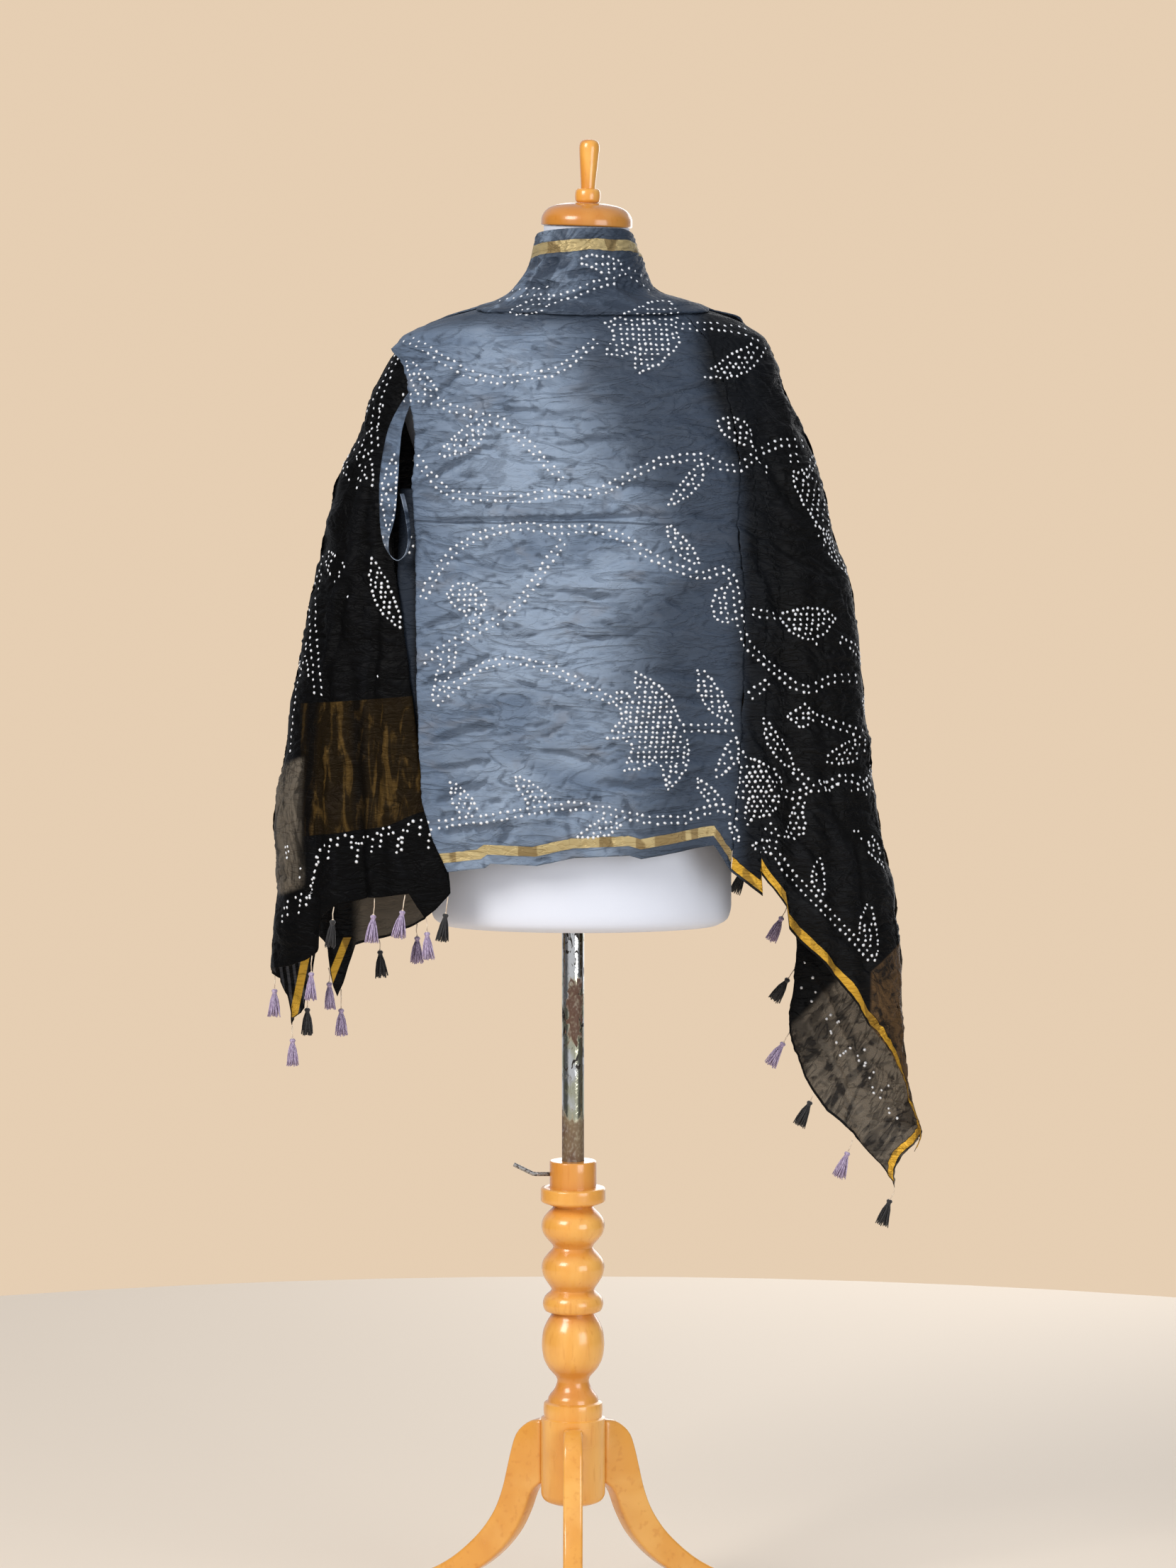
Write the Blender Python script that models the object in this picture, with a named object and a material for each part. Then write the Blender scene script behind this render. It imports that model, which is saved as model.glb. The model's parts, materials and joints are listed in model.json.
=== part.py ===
"""Tie-dyed silk dupatta stole, worn like a shawl by a limbless dress form on a turned stand.

Metres, +Z up, back of the stole towards -Y. The origin is on the floor under the middle of the
whole. Every piece is drawn from the stand's own vertical axis and hangs from an empty on it.
"""
import math
from collections import namedtuple

import bmesh
import bpy
import numpy as np
from mathutils import Matrix, Vector

for old in list(bpy.data.objects):
    bpy.data.objects.remove(old, do_unlink=True)

# The stand's axis, seen from the middle of the whole
AXIS_X = -0.025
AXIS_Y = 0.0705
SEAT_GAP = 0.0003

# Turned column, from its collar down to its hub
COLUMN_TOP = 0.530
HUB_BOTTOM = 0.136
HUB_RADIUS = 0.0365
COLLAR_RADIUS = 0.0265
BORE_RADIUS = 0.0130
BORE_BOTTOM = 0.170
TURNING_SIDES = 20

# Legs
LEG_THICKNESS = 0.022
LEG_ANGLES = {"leg_front": -90, "leg_back_right": 30, "leg_back_left": 150}

# Pole, clamp screw and form
POLE_RADIUS = 0.0125
POLE_BOTTOM = 0.330
FORM_BOTTOM = 0.800
FORM_X = 0.012
NECK_X = 0.0155
NECK_TOP = 1.585
NECK_TILT = math.radians(2.0)
SCREW_RADIUS = 0.0024
SCREW_HOLE_RADIUS = 0.0029
SCREW_HEIGHT = 0.5144
CAP_RADIUS = 0.051
CAP_HEIGHT = 0.026
FINIAL_HEIGHT = 0.071

# Cloth
WALL = 0.0012
SEAM_GAP = 0.0003
BACK = -1
FRONT = 1

# Tassels
STRANDS = 9
STRING_RADIUS = 0.0007
HEAD_RADIUS = 0.0036
SKIRT_RADIUS = 0.0075
SKIRT_LENGTH = 0.027

Finish = namedtuple("Finish", "colour roughness metallic")
FINISHES = {
    "stole_grey": Finish((0.18, 0.24, 0.36), 0.55, 0.0),
    "stole_black": Finish((0.012, 0.012, 0.015), 0.55, 0.0),
    "stole_sheer": Finish((0.10, 0.08, 0.06), 0.60, 0.0),
    "tassel_purple": Finish((0.30, 0.23, 0.36), 0.80, 0.0),
    "tassel_black": Finish((0.01, 0.01, 0.01), 0.80, 0.0),
    "form_white": Finish((0.80, 0.82, 0.90), 0.45, 0.0),
    "amber_wood": Finish((0.75, 0.30, 0.06), 0.22, 0.0),
    "worn_chrome": Finish((0.60, 0.58, 0.55), 0.30, 1.0),
}


# Shared helpers

def finish(name):
    """Material of one finish, made the first time it is asked for."""
    material = bpy.data.materials.get(name)
    if material is None:
        look = FINISHES[name]
        material = bpy.data.materials.new(name)
        material.use_nodes = True
        shader = material.node_tree.nodes["Principled BSDF"]
        shader.inputs["Base Color"].default_value = (*look.colour, 1.0)
        shader.inputs["Roughness"].default_value = look.roughness
        shader.inputs["Metallic"].default_value = look.metallic
    return material


def add_object(name, shape, finish_name, parent):
    """Turn a bmesh into a smooth-shaded object under one of the stand's empties."""
    bmesh.ops.recalc_face_normals(shape, faces=shape.faces)
    mesh = bpy.data.meshes.new(name)
    shape.to_mesh(mesh)
    shape.free()
    mesh.shade_smooth()
    mesh.set_sharp_from_angle(angle=math.radians(40))
    mesh.materials.append(finish(finish_name))
    piece = bpy.data.objects.new(name, mesh)
    bpy.context.collection.objects.link(piece)
    piece.parent = parent
    return piece


def add_empty(name, x, y, z, parent=None):
    empty = bpy.data.objects.new(name, None)
    bpy.context.collection.objects.link(empty)
    empty.location = (x, y, z)
    empty.parent = parent
    return empty


def smooth_curve(keys, values, at):
    """Read, at any keys, the smooth curve through the pairs that never overshoots them."""
    keys = np.asarray(keys, float)
    values = np.asarray(values, float)
    step = np.diff(keys)
    slope = np.diff(values) / step
    product = slope[:-1] * slope[1:]
    total = slope[:-1] + slope[1:]
    safe_total = np.where(np.abs(total) < 1e-12, 1.0, total)
    inner = np.where(product > 0, 2 * product / safe_total, 0.0)
    tangent = np.concatenate(([slope[0]], inner, [slope[-1]]))
    at = np.clip(at, keys[0], keys[-1])
    i = np.clip(np.searchsorted(keys, at) - 1, 0, len(step) - 1)
    u = (at - keys[i]) / step[i]
    start = (1 + 2 * u) * (1 - u) ** 2 * values[i] + u * (1 - u) ** 2 * step[i] * tangent[i]
    end = u**2 * (3 - 2 * u) * values[i + 1] + u**2 * (u - 1) * step[i] * tangent[i + 1]
    return start + end


def rings_to_solid(rings):
    """Closed solid through rings of points of equal count, capped at both ends."""
    shape = bmesh.new()
    loops = [[shape.verts.new(point) for point in ring] for ring in rings]
    count = len(loops[0])
    for upper, lower in zip(loops[:-1], loops[1:]):
        for i in range(count):
            j = (i + 1) % count
            shape.faces.new((upper[i], upper[j], lower[j], lower[i]))
    shape.faces.new(loops[0])
    shape.faces.new(list(reversed(loops[-1])))
    return shape


def turned(profile, sides=TURNING_SIDES):
    """Solid of revolution about the vertical axis, from (radius, height) pairs, top to bottom."""
    turn = [2 * math.pi * (i + 0.5) / sides for i in range(sides)]
    rings = [[(r * math.cos(a), r * math.sin(a), z) for a in turn] for r, z in profile]
    return rings_to_solid(rings)


# Stand: turned column with a blind bore for the pole

Bead = namedtuple("Bead", "top_z radius")
COLUMN_PROFILE = [
    Bead(0.5300, 0.0255), Bead(0.5285, COLLAR_RADIUS), Bead(0.5000, COLLAR_RADIUS),
    Bead(0.4992, 0.0355), Bead(0.4970, 0.0368), Bead(0.4850, 0.0368), Bead(0.4828, 0.0350),
    Bead(0.4776, 0.0225), Bead(0.4700, 0.0295), Bead(0.4630, 0.0345), Bead(0.4560, 0.0360),
    Bead(0.4480, 0.0345), Bead(0.4400, 0.0290), Bead(0.4312, 0.0225), Bead(0.4230, 0.0290),
    Bead(0.4150, 0.0345), Bead(0.4080, 0.0358), Bead(0.4000, 0.0345), Bead(0.3900, 0.0290),
    Bead(0.3824, 0.0245), Bead(0.3745, 0.0320), Bead(0.3664, 0.0345), Bead(0.3585, 0.0320),
    Bead(0.3552, 0.0242), Bead(0.3450, 0.0300), Bead(0.3330, 0.0345), Bead(0.3192, 0.0357),
    Bead(0.3050, 0.0340), Bead(0.2920, 0.0280), Bead(0.2784, 0.0180), Bead(0.2690, 0.0205),
    Bead(0.2584, 0.0280), Bead(0.2540, 0.0290), Bead(0.2520, 0.0330), Bead(0.2440, 0.0337),
    Bead(0.2360, 0.0330), Bead(0.2344, HUB_RADIUS), Bead(0.1480, HUB_RADIUS),
    Bead(0.1400, 0.0330), Bead(HUB_BOTTOM, 0.0240),
]


def make_column(parent):
    """Column turned from one billet, bored for the pole and drilled for the clamp screw."""
    outside = [(bead.radius, bead.top_z) for bead in COLUMN_PROFILE]
    bore = [(BORE_RADIUS, BORE_BOTTOM), (BORE_RADIUS, COLUMN_TOP)]
    turn = [2 * math.pi * (i + 0.5) / TURNING_SIDES for i in range(TURNING_SIDES)]
    shape = bmesh.new()
    loops = []
    for radius, z in bore + outside:
        ring = [(radius * math.cos(a), radius * math.sin(a), z) for a in turn]
        loops.append([shape.verts.new(point) for point in ring])
    for inner, outer in zip(loops[:-1], loops[1:]):
        for i in range(TURNING_SIDES):
            j = (i + 1) % TURNING_SIDES
            shape.faces.new((inner[i], inner[j], outer[j], outer[i]))
    shape.faces.new(loops[0])
    shape.faces.new(loops[-1])
    column = add_object("stand_column", shape, "amber_wood", parent)
    drill = turned([(SCREW_HOLE_RADIUS, 0.030), (SCREW_HOLE_RADIUS, 0.0)], sides=12)
    bmesh.ops.rotate(drill, verts=drill.verts, matrix=Matrix.Rotation(-math.pi / 2, 3, "Y"))
    bmesh.ops.translate(drill, verts=drill.verts, vec=(-0.004, 0.0, SCREW_HEIGHT))
    cutter = add_object("screw_drill", drill, "amber_wood", parent)
    cutter.hide_render = True
    cutter.display_type = "WIRE"
    cut = column.modifiers.new("screw hole", "BOOLEAN")
    cut.operation = "DIFFERENCE"
    cut.solver = "EXACT"
    cut.object = cutter
    return column


# Stand: three cabriole legs cut from board

LegPoint = namedtuple("LegPoint", "reach z")
LEG_TOP = [
    LegPoint(0.0368, 0.2290), LegPoint(0.0470, 0.2285), LegPoint(0.0570, 0.2240),
    LegPoint(0.0700, 0.2110), LegPoint(0.0767, 0.1925), LegPoint(0.0822, 0.1710),
    LegPoint(0.0878, 0.1486), LegPoint(0.0970, 0.1240), LegPoint(0.1109, 0.1016),
    LegPoint(0.1303, 0.0800), LegPoint(0.1635, 0.0530), LegPoint(0.2000, 0.0340),
    LegPoint(0.2350, 0.0225), LegPoint(0.2650, 0.0175), LegPoint(0.2880, 0.0160),
    LegPoint(0.2980, 0.0110), LegPoint(0.3010, 0.0050),
]
LEG_UNDER = [
    LegPoint(0.3000, 0.0000), LegPoint(0.2350, 0.0000), LegPoint(0.2150, 0.0050),
    LegPoint(0.1900, 0.0140), LegPoint(0.1600, 0.0265), LegPoint(0.1300, 0.0420),
    LegPoint(0.1053, 0.0594), LegPoint(0.0841, 0.0800), LegPoint(0.0702, 0.0986),
    LegPoint(0.0591, 0.1207), LegPoint(0.0490, 0.1458), LegPoint(0.0368, 0.1576),
]


def make_leg(name, degrees, parent):
    """One leg: the S outline cut from a board, with its long edges eased."""
    outline = LEG_TOP + LEG_UNDER
    shape = bmesh.new()
    near = [shape.verts.new((p.reach, -LEG_THICKNESS / 2, p.z)) for p in outline]
    face = shape.faces.new(near)
    grown = bmesh.ops.extrude_face_region(shape, geom=[face])["geom"]
    moved = [part for part in grown if isinstance(part, bmesh.types.BMVert)]
    bmesh.ops.translate(shape, verts=moved, vec=(0, LEG_THICKNESS, 0))
    bmesh.ops.rotate(shape, verts=shape.verts, matrix=Matrix.Rotation(math.radians(degrees), 3, "Z"))
    return add_object(name, shape, "amber_wood", parent)


# Stand: bent clamp screw through the collar

def make_screw(parent):
    """Bent rod whose straight part turns in the collar's hole; the empty is on its axis."""
    route = [
        Vector((-POLE_RADIUS - 0.0005, 0, 0)), Vector((-0.0440, 0, 0)),
        Vector((-0.0465, 0, 0.0010)), Vector((-0.0672, 0, 0.0112)),
    ]
    rings = []
    for i, point in enumerate(route):
        before = route[max(i - 1, 0)]
        after = route[min(i + 1, len(route) - 1)]
        along = (after - before).normalized()
        side = Vector((0, 1, 0))
        up = along.cross(side)
        turn = [2 * math.pi * k / 10 for k in range(10)]
        rings.append([point + SCREW_RADIUS * (side * math.cos(a) + up * math.sin(a)) for a in turn])
    return add_object("clamp_screw", rings_to_solid(rings), "worn_chrome", parent)


# Form: torso, cap and finial

FormRing = namedtuple("FormRing", "z half_width half_depth centre_x")
TORSO = [
    FormRing(NECK_TOP, 0.0490, 0.0470, NECK_X), FormRing(1.5600, 0.0490, 0.0470, NECK_X),
    FormRing(1.5250, 0.0520, 0.0490, 0.0150), FormRing(1.5060, 0.0640, 0.0530, 0.0130),
    FormRing(1.4959, 0.0990, 0.0600, 0.0120), FormRing(1.4859, 0.1345, 0.0660, 0.0120),
    FormRing(1.4729, 0.1725, 0.0720, 0.0120), FormRing(1.4599, 0.1935, 0.0770, 0.0120),
    FormRing(1.4360, 0.2050, 0.0840, 0.0120), FormRing(1.4060, 0.2085, 0.0920, 0.0120),
    FormRing(1.3700, 0.2020, 0.1000, 0.0120), FormRing(1.3200, 0.1860, 0.1060, 0.0120),
    FormRing(1.2400, 0.1640, 0.1050, 0.0115), FormRing(1.1500, 0.1430, 0.0940, 0.0110),
    FormRing(1.0700, 0.1360, 0.0890, 0.0105), FormRing(1.0000, 0.1460, 0.0940, 0.0100),
    FormRing(0.9300, 0.1620, 0.1040, 0.0095), FormRing(0.8600, 0.1710, 0.1090, 0.0090),
    FormRing(0.8220, 0.1710, 0.1080, 0.0090), FormRing(0.8070, 0.1670, 0.1040, 0.0090),
    FormRing(FORM_BOTTOM, 0.1560, 0.0930, 0.0090),
]
FORM_SIDES = 28


def make_torso(parent):
    """Smooth limbless form, neck top cut a little askew, flat underneath."""
    rings = []
    for row in TORSO:
        ring = []
        for i in range(FORM_SIDES):
            angle = 2 * math.pi * i / FORM_SIDES
            x = row.half_width * math.cos(angle)
            y = row.half_depth * math.sin(angle)
            z = row.z - x * math.tan(NECK_TILT) if row.z == NECK_TOP else row.z
            ring.append((row.centre_x + x, y, z))
        rings.append(ring)
    return add_object("torso", rings_to_solid(rings), "form_white", parent)


def make_cap(parent):
    """Domed wooden cap over the neck, tilted with the neck's top."""
    rim = [(0.0200, CAP_HEIGHT), (0.0330, CAP_HEIGHT - 0.0022), (0.0430, CAP_HEIGHT - 0.0062),
           (0.0485, CAP_HEIGHT - 0.0120), (CAP_RADIUS, CAP_HEIGHT - 0.0190), (CAP_RADIUS, 0.0012),
           (CAP_RADIUS - 0.0012, 0.0)]
    cap = add_object("neck_cap", turned(rim), "amber_wood", parent)
    cap.location = (NECK_X, 0, NECK_TOP + SEAT_GAP)
    cap.rotation_euler = (0, NECK_TILT, 0)
    return cap


def make_finial(parent):
    """Turned pin on the cap: a bead, then a shaft that widens upward."""
    pin = [(0.0070, FINIAL_HEIGHT), (0.0105, FINIAL_HEIGHT - 0.0020), (0.0113, FINIAL_HEIGHT - 0.0060),
           (0.0108, FINIAL_HEIGHT - 0.0200), (0.0085, 0.0240), (0.0080, 0.0165), (0.0110, 0.0160),
           (0.0138, 0.0130), (0.0143, 0.0080), (0.0138, 0.0030), (0.0110, 0.0)]
    finial = add_object("finial", turned(pin, sides=16), "amber_wood", parent)
    up = Vector((math.sin(NECK_TILT), 0, math.cos(NECK_TILT)))
    finial.location = Vector((NECK_X, 0, NECK_TOP + SEAT_GAP)) + up * (CAP_HEIGHT + SEAT_GAP)
    finial.rotation_euler = (0, NECK_TILT, 0)
    return finial


# Cloth: the drape's outer face, as elliptical sections that share one centre line

Section = namedtuple("Section", "z left right back front")
DRAPE = [
    Section(1.505, -0.0740, 0.1000, 0.0690, 0.0610),
    Section(1.495, -0.1020, 0.1400, 0.0780, 0.0690),
    Section(1.485, -0.1370, 0.1740, 0.0860, 0.0760),
    Section(1.472, -0.1740, 0.1985, 0.0930, 0.0830),
    Section(1.459, -0.1955, 0.2165, 0.0990, 0.0880),
    Section(1.436, -0.2120, 0.2275, 0.1070, 0.0960),
    Section(1.406, -0.2280, 0.2376, 0.1140, 0.1050),
    Section(1.369, -0.2400, 0.2528, 0.1200, 0.1130),
    Section(1.344, -0.2475, 0.2656, 0.1240, 0.1190),
    Section(1.293, -0.2680, 0.2808, 0.1290, 0.1270),
    Section(1.242, -0.2790, 0.2936, 0.1320, 0.1330),
    Section(1.166, -0.2960, 0.3168, 0.1350, 0.1380),
    Section(1.074, -0.3136, 0.3264, 0.1380, 0.1410),
    Section(0.990, -0.3260, 0.3360, 0.1400, 0.1430),
    Section(0.920, -0.3380, 0.3448, 0.1420, 0.1440),
    Section(0.846, -0.3350, 0.3616, 0.1430, 0.1440),
    Section(0.783, -0.3400, 0.3696, 0.1350, 0.1370),
    Section(0.740, -0.3420, 0.3720, 0.1250, 0.1260),
    Section(0.700, -0.3350, 0.3728, 0.1120, 0.1150),
    Section(0.630, -0.3300, 0.3792, 0.0850, 0.0950),
    Section(0.584, -0.3300, 0.3890, 0.0600, 0.0780),
    Section(0.562, -0.3300, 0.3965, 0.0500, 0.0700),
    Section(0.534, -0.3300, 0.3860, 0.0450, 0.0600),
    Section(0.495, -0.3300, 0.3760, 0.0400, 0.0500),
]
NECK = [
    Section(1.586, -0.0405, 0.0660, 0.0565, 0.0510),
    Section(1.570, -0.0425, 0.0700, 0.0590, 0.0530),
    Section(1.556, -0.0460, 0.0760, 0.0620, 0.0560),
    Section(1.540, -0.0520, 0.0800, 0.0655, 0.0600),
    Section(1.525, -0.0600, 0.0865, 0.0700, 0.0640),
    Section(1.512, -0.0710, 0.1010, 0.0750, 0.0690),
    Section(1.502, -0.0900, 0.1330, 0.0810, 0.0740),
    Section(1.493, -0.1162, 0.1535, 0.0865, 0.0797),
    Section(1.484, -0.1510, 0.1900, 0.0930, 0.0870),
    Section(1.465, -0.1990, 0.2190, 0.1020, 0.0960),
    Section(1.430, -0.2250, 0.2390, 0.1140, 0.1075),
    Section(1.390, -0.2440, 0.2570, 0.1230, 0.1190),
    Section(1.340, -0.2580, 0.2750, 0.1310, 0.1280),
    Section(1.280, -0.2820, 0.2940, 0.1370, 0.1370),
]


def half_sizes(table, z):
    """Half widths to the left and right, and half depths at the back and front, at heights z."""
    rows = sorted(table)
    heights = [row.z for row in rows]
    left = FORM_X - smooth_curve(heights, [row.left for row in rows], z)
    right = smooth_curve(heights, [row.right for row in rows], z) - FORM_X
    back = smooth_curve(heights, [row.back for row in rows], z)
    front = smooth_curve(heights, [row.front for row in rows], z)
    return left, right, back, front


def on_drape(table, angle, z, out=0.0):
    """Points of the drape at angles round the centre line (0 right, -90 degrees back)."""
    left, right, back, front = half_sizes(table, z)
    c, s = np.cos(angle), np.sin(angle)
    x = FORM_X + c * (np.where(c > 0, right, left) + out)
    y = s * (np.where(s > 0, front, back) + out)
    return np.stack(np.broadcast_arrays(x, y, z), axis=-1)


def angle_at(table, x, z, face):
    """Angle round the centre line of the point with this x, on the back or the front."""
    left, right, _, _ = half_sizes(table, np.asarray(z, float))
    offset = x - FORM_X
    cosine = np.clip(offset / (right if offset > 0 else left), -1, 1)
    angle = -math.acos(cosine)
    if face == BACK:
        return angle
    return -angle if offset > 0 else -2 * math.pi - angle


# Cloth: the edges and hems of each stretch

EdgePoint = namedtuple("EdgePoint", "z x face")
HemPoint = namedtuple("HemPoint", "x z")
TopPoint = namedtuple("TopPoint", "share z")
Crease = namedtuple("Crease", "top_x top_z low_x low_z width depth")

BACK_FOLD_EDGE = [
    EdgePoint(1.502, -0.055, FRONT), EdgePoint(1.486, -0.118, FRONT), EdgePoint(1.470, -0.168, FRONT),
    EdgePoint(1.456, -0.198, FRONT), EdgePoint(1.440, -0.196, BACK), EdgePoint(1.420, -0.186, BACK),
    EdgePoint(1.360, -0.177, BACK), EdgePoint(1.230, -0.1745, BACK), EdgePoint(1.120, -0.1735, BACK),
    EdgePoint(0.970, -0.1685, BACK), EdgePoint(0.910, -0.1560, BACK), EdgePoint(0.872, -0.1390, BACK),
]
SIDE_CREASE = [
    EdgePoint(1.502, 0.090, BACK), EdgePoint(1.470, 0.140, BACK), EdgePoint(1.400, 0.172, BACK),
    EdgePoint(1.250, 0.184, BACK), EdgePoint(1.000, 0.186, BACK), EdgePoint(0.872, 0.176, BACK),
]
RIGHT_END_EDGE = [
    EdgePoint(1.502, 0.060, FRONT), EdgePoint(1.400, 0.100, FRONT), EdgePoint(1.250, 0.120, FRONT),
    EdgePoint(1.100, 0.120, FRONT), EdgePoint(1.000, 0.130, FRONT), EdgePoint(0.930, 0.150, FRONT),
    EdgePoint(0.885, 0.187, FRONT), EdgePoint(0.862, 0.232, FRONT), EdgePoint(0.830, 0.243, FRONT),
    EdgePoint(0.800, 0.250, FRONT), EdgePoint(0.761, 0.257, FRONT), EdgePoint(0.711, 0.2515, FRONT),
    EdgePoint(0.684, 0.2490, FRONT), EdgePoint(0.6635, 0.2500, FRONT), EdgePoint(0.639, 0.2570, FRONT),
    EdgePoint(0.589, 0.2830, FRONT), EdgePoint(0.5526, 0.3230, FRONT), EdgePoint(0.497, 0.3667, FRONT),
]
LEFT_PANEL_EDGE = [
    EdgePoint(1.458, -0.190, BACK), EdgePoint(1.400, -0.192, BACK), EdgePoint(1.360, -0.203, BACK),
    EdgePoint(1.300, -0.206, BACK), EdgePoint(1.210, -0.203, BACK), EdgePoint(1.160, -0.194, BACK),
    EdgePoint(1.060, -0.181, BACK), EdgePoint(0.960, -0.169, BACK), EdgePoint(0.870, -0.140, BACK),
    EdgePoint(0.840, -0.138, BACK),
]
LEFT_FRONT_EDGE = [
    EdgePoint(1.458, -0.120, FRONT), EdgePoint(1.300, -0.120, FRONT), EdgePoint(1.100, -0.125, FRONT),
    EdgePoint(0.900, -0.150, FRONT), EdgePoint(0.780, -0.173, FRONT), EdgePoint(0.680, -0.180, FRONT),
]
BACK_HEM = [
    HemPoint(-0.139, 0.872), HemPoint(-0.098, 0.877), HemPoint(-0.091, 0.882), HemPoint(-0.040, 0.880),
    HemPoint(0.002, 0.889), HemPoint(0.063, 0.8915), HemPoint(0.076, 0.8876), HemPoint(0.158, 0.9016),
    HemPoint(0.176, 0.872),
]
RIGHT_HEM = [
    HemPoint(0.176, 0.872), HemPoint(0.2095, 0.869), HemPoint(0.2115, 0.844), HemPoint(0.2400, 0.830),
    HemPoint(0.2430, 0.806), HemPoint(0.281, 0.766), HemPoint(0.316, 0.7235), HemPoint(0.3375, 0.690),
    HemPoint(0.3615, 0.653), HemPoint(0.376, 0.620), HemPoint(0.385, 0.590), HemPoint(0.3964, 0.563),
]
RIGHT_END_HEM = [
    HemPoint(0.3964, 0.563), HemPoint(0.3900, 0.540), HemPoint(0.3667, 0.497),
]
LEFT_HEM = [
    HemPoint(-0.138, 0.848), HemPoint(-0.155, 0.829), HemPoint(-0.1666, 0.8195), HemPoint(-0.1753, 0.8325),
    HemPoint(-0.184, 0.8466), HemPoint(-0.219, 0.841), HemPoint(-0.237, 0.840), HemPoint(-0.267, 0.830),
    HemPoint(-0.284, 0.815), HemPoint(-0.2925, 0.776), HemPoint(-0.305, 0.765), HemPoint(-0.319, 0.758),
    HemPoint(-0.3415, 0.747),
]
LEFT_FRONT_HEM = [
    HemPoint(-0.3415, 0.747), HemPoint(-0.3336, 0.735), HemPoint(-0.3264, 0.715), HemPoint(-0.3195, 0.681),
    HemPoint(-0.309, 0.702), HemPoint(-0.3015, 0.730), HemPoint(-0.2950, 0.780), HemPoint(-0.289, 0.770),
    HemPoint(-0.279, 0.733), HemPoint(-0.2705, 0.709), HemPoint(-0.2635, 0.7236), HemPoint(-0.2580, 0.742),
    HemPoint(-0.2510, 0.766), HemPoint(-0.218, 0.7747), HemPoint(-0.1915, 0.784), HemPoint(-0.173, 0.793),
]
LEFT_RETURN_START = [EdgePoint(1.300, -0.1980, BACK), EdgePoint(0.880, -0.1780, BACK)]
LEFT_RETURN_END = [EdgePoint(1.300, -0.1600, BACK), EdgePoint(0.880, -0.1300, BACK)]

# Shares run along a stretch, from its start edge (0) to its end edge (1)
LEVEL_TOP = [TopPoint(0, 1.505), TopPoint(1, 1.505)]
LEFT_TOP = [TopPoint(0, 1.446), TopPoint(1, 1.440)]
LEFT_FRONT_TOP = [TopPoint(0, 1.462), TopPoint(0.75, 1.462), TopPoint(1, 1.446)]
RETURN_TOP = [TopPoint(0, 1.295), TopPoint(1, 1.295)]
RETURN_HEM = [TopPoint(0, 0.900), TopPoint(1, 0.885)]
RIGHT_END_TOP = [
    TopPoint(0, 1.505), TopPoint(0.27, 1.487), TopPoint(0.53, 1.432), TopPoint(0.80, 1.340),
    TopPoint(0.90, 1.310), TopPoint(1, 1.285),
]
NECK_TOP_EDGE = [
    TopPoint(0, 1.455), TopPoint(0.05, 1.500), TopPoint(0.117, 1.550), TopPoint(0.183, 1.572),
    TopPoint(0.30, 1.580), TopPoint(0.483, 1.5835), TopPoint(0.65, 1.583), TopPoint(0.783, 1.573),
    TopPoint(0.85, 1.545), TopPoint(0.917, 1.490), TopPoint(0.983, 1.390), TopPoint(1, 1.345),
]
NECK_FOLD_EDGE = [
    TopPoint(0, 1.410), TopPoint(0.05, 1.435), TopPoint(0.117, 1.478), TopPoint(0.183, 1.4955),
    TopPoint(0.30, 1.490), TopPoint(0.483, 1.4875), TopPoint(0.65, 1.4885), TopPoint(0.783, 1.493),
    TopPoint(0.85, 1.475), TopPoint(0.917, 1.420), TopPoint(0.983, 1.325), TopPoint(1, 1.290),
]

LEFT_FOLD_ANGLE = -math.pi
RIGHT_FOLD_ANGLE = 0.0
NECK_START_ANGLE = math.radians(-235)
NECK_END_ANGLE = math.radians(65)

Stretch = namedtuple(
    "Stretch",
    "table start end top hem face columns rows out tuck_start tuck_end tuck_top finish creases",
)
BACK_CREASES = [
    Crease(-0.150, 1.200, -0.135, 0.872, 0.014, 0.0035),
    Crease(0.120, 1.330, 0.150, 0.900, 0.030, 0.0060),
]
RIGHT_CREASES = [
    Crease(0.215, 1.440, 0.262, 0.760, 0.014, 0.0060),
    Crease(0.262, 1.330, 0.306, 0.700, 0.012, 0.0050),
    Crease(0.298, 1.200, 0.338, 0.660, 0.009, 0.0040),
]
RIGHT_END_CREASES = [
    Crease(0.170, 1.300, 0.270, 0.600, 0.018, 0.0080),
    Crease(0.250, 1.200, 0.330, 0.560, 0.015, 0.0060),
]
LEFT_CREASES = [
    Crease(-0.252, 1.130, -0.242, 0.800, 0.012, 0.0140),
    Crease(-0.278, 1.400, -0.296, 0.780, 0.010, 0.0060),
    Crease(-0.240, 1.300, -0.214, 0.820, 0.010, 0.0055),
]
LEFT_FRONT_CREASES = [
    Crease(-0.200, 1.350, -0.218, 0.770, 0.014, 0.0080),
    Crease(-0.270, 1.250, -0.292, 0.740, 0.010, 0.0070),
    Crease(-0.150, 1.250, -0.185, 0.780, 0.010, 0.0060),
]
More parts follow.
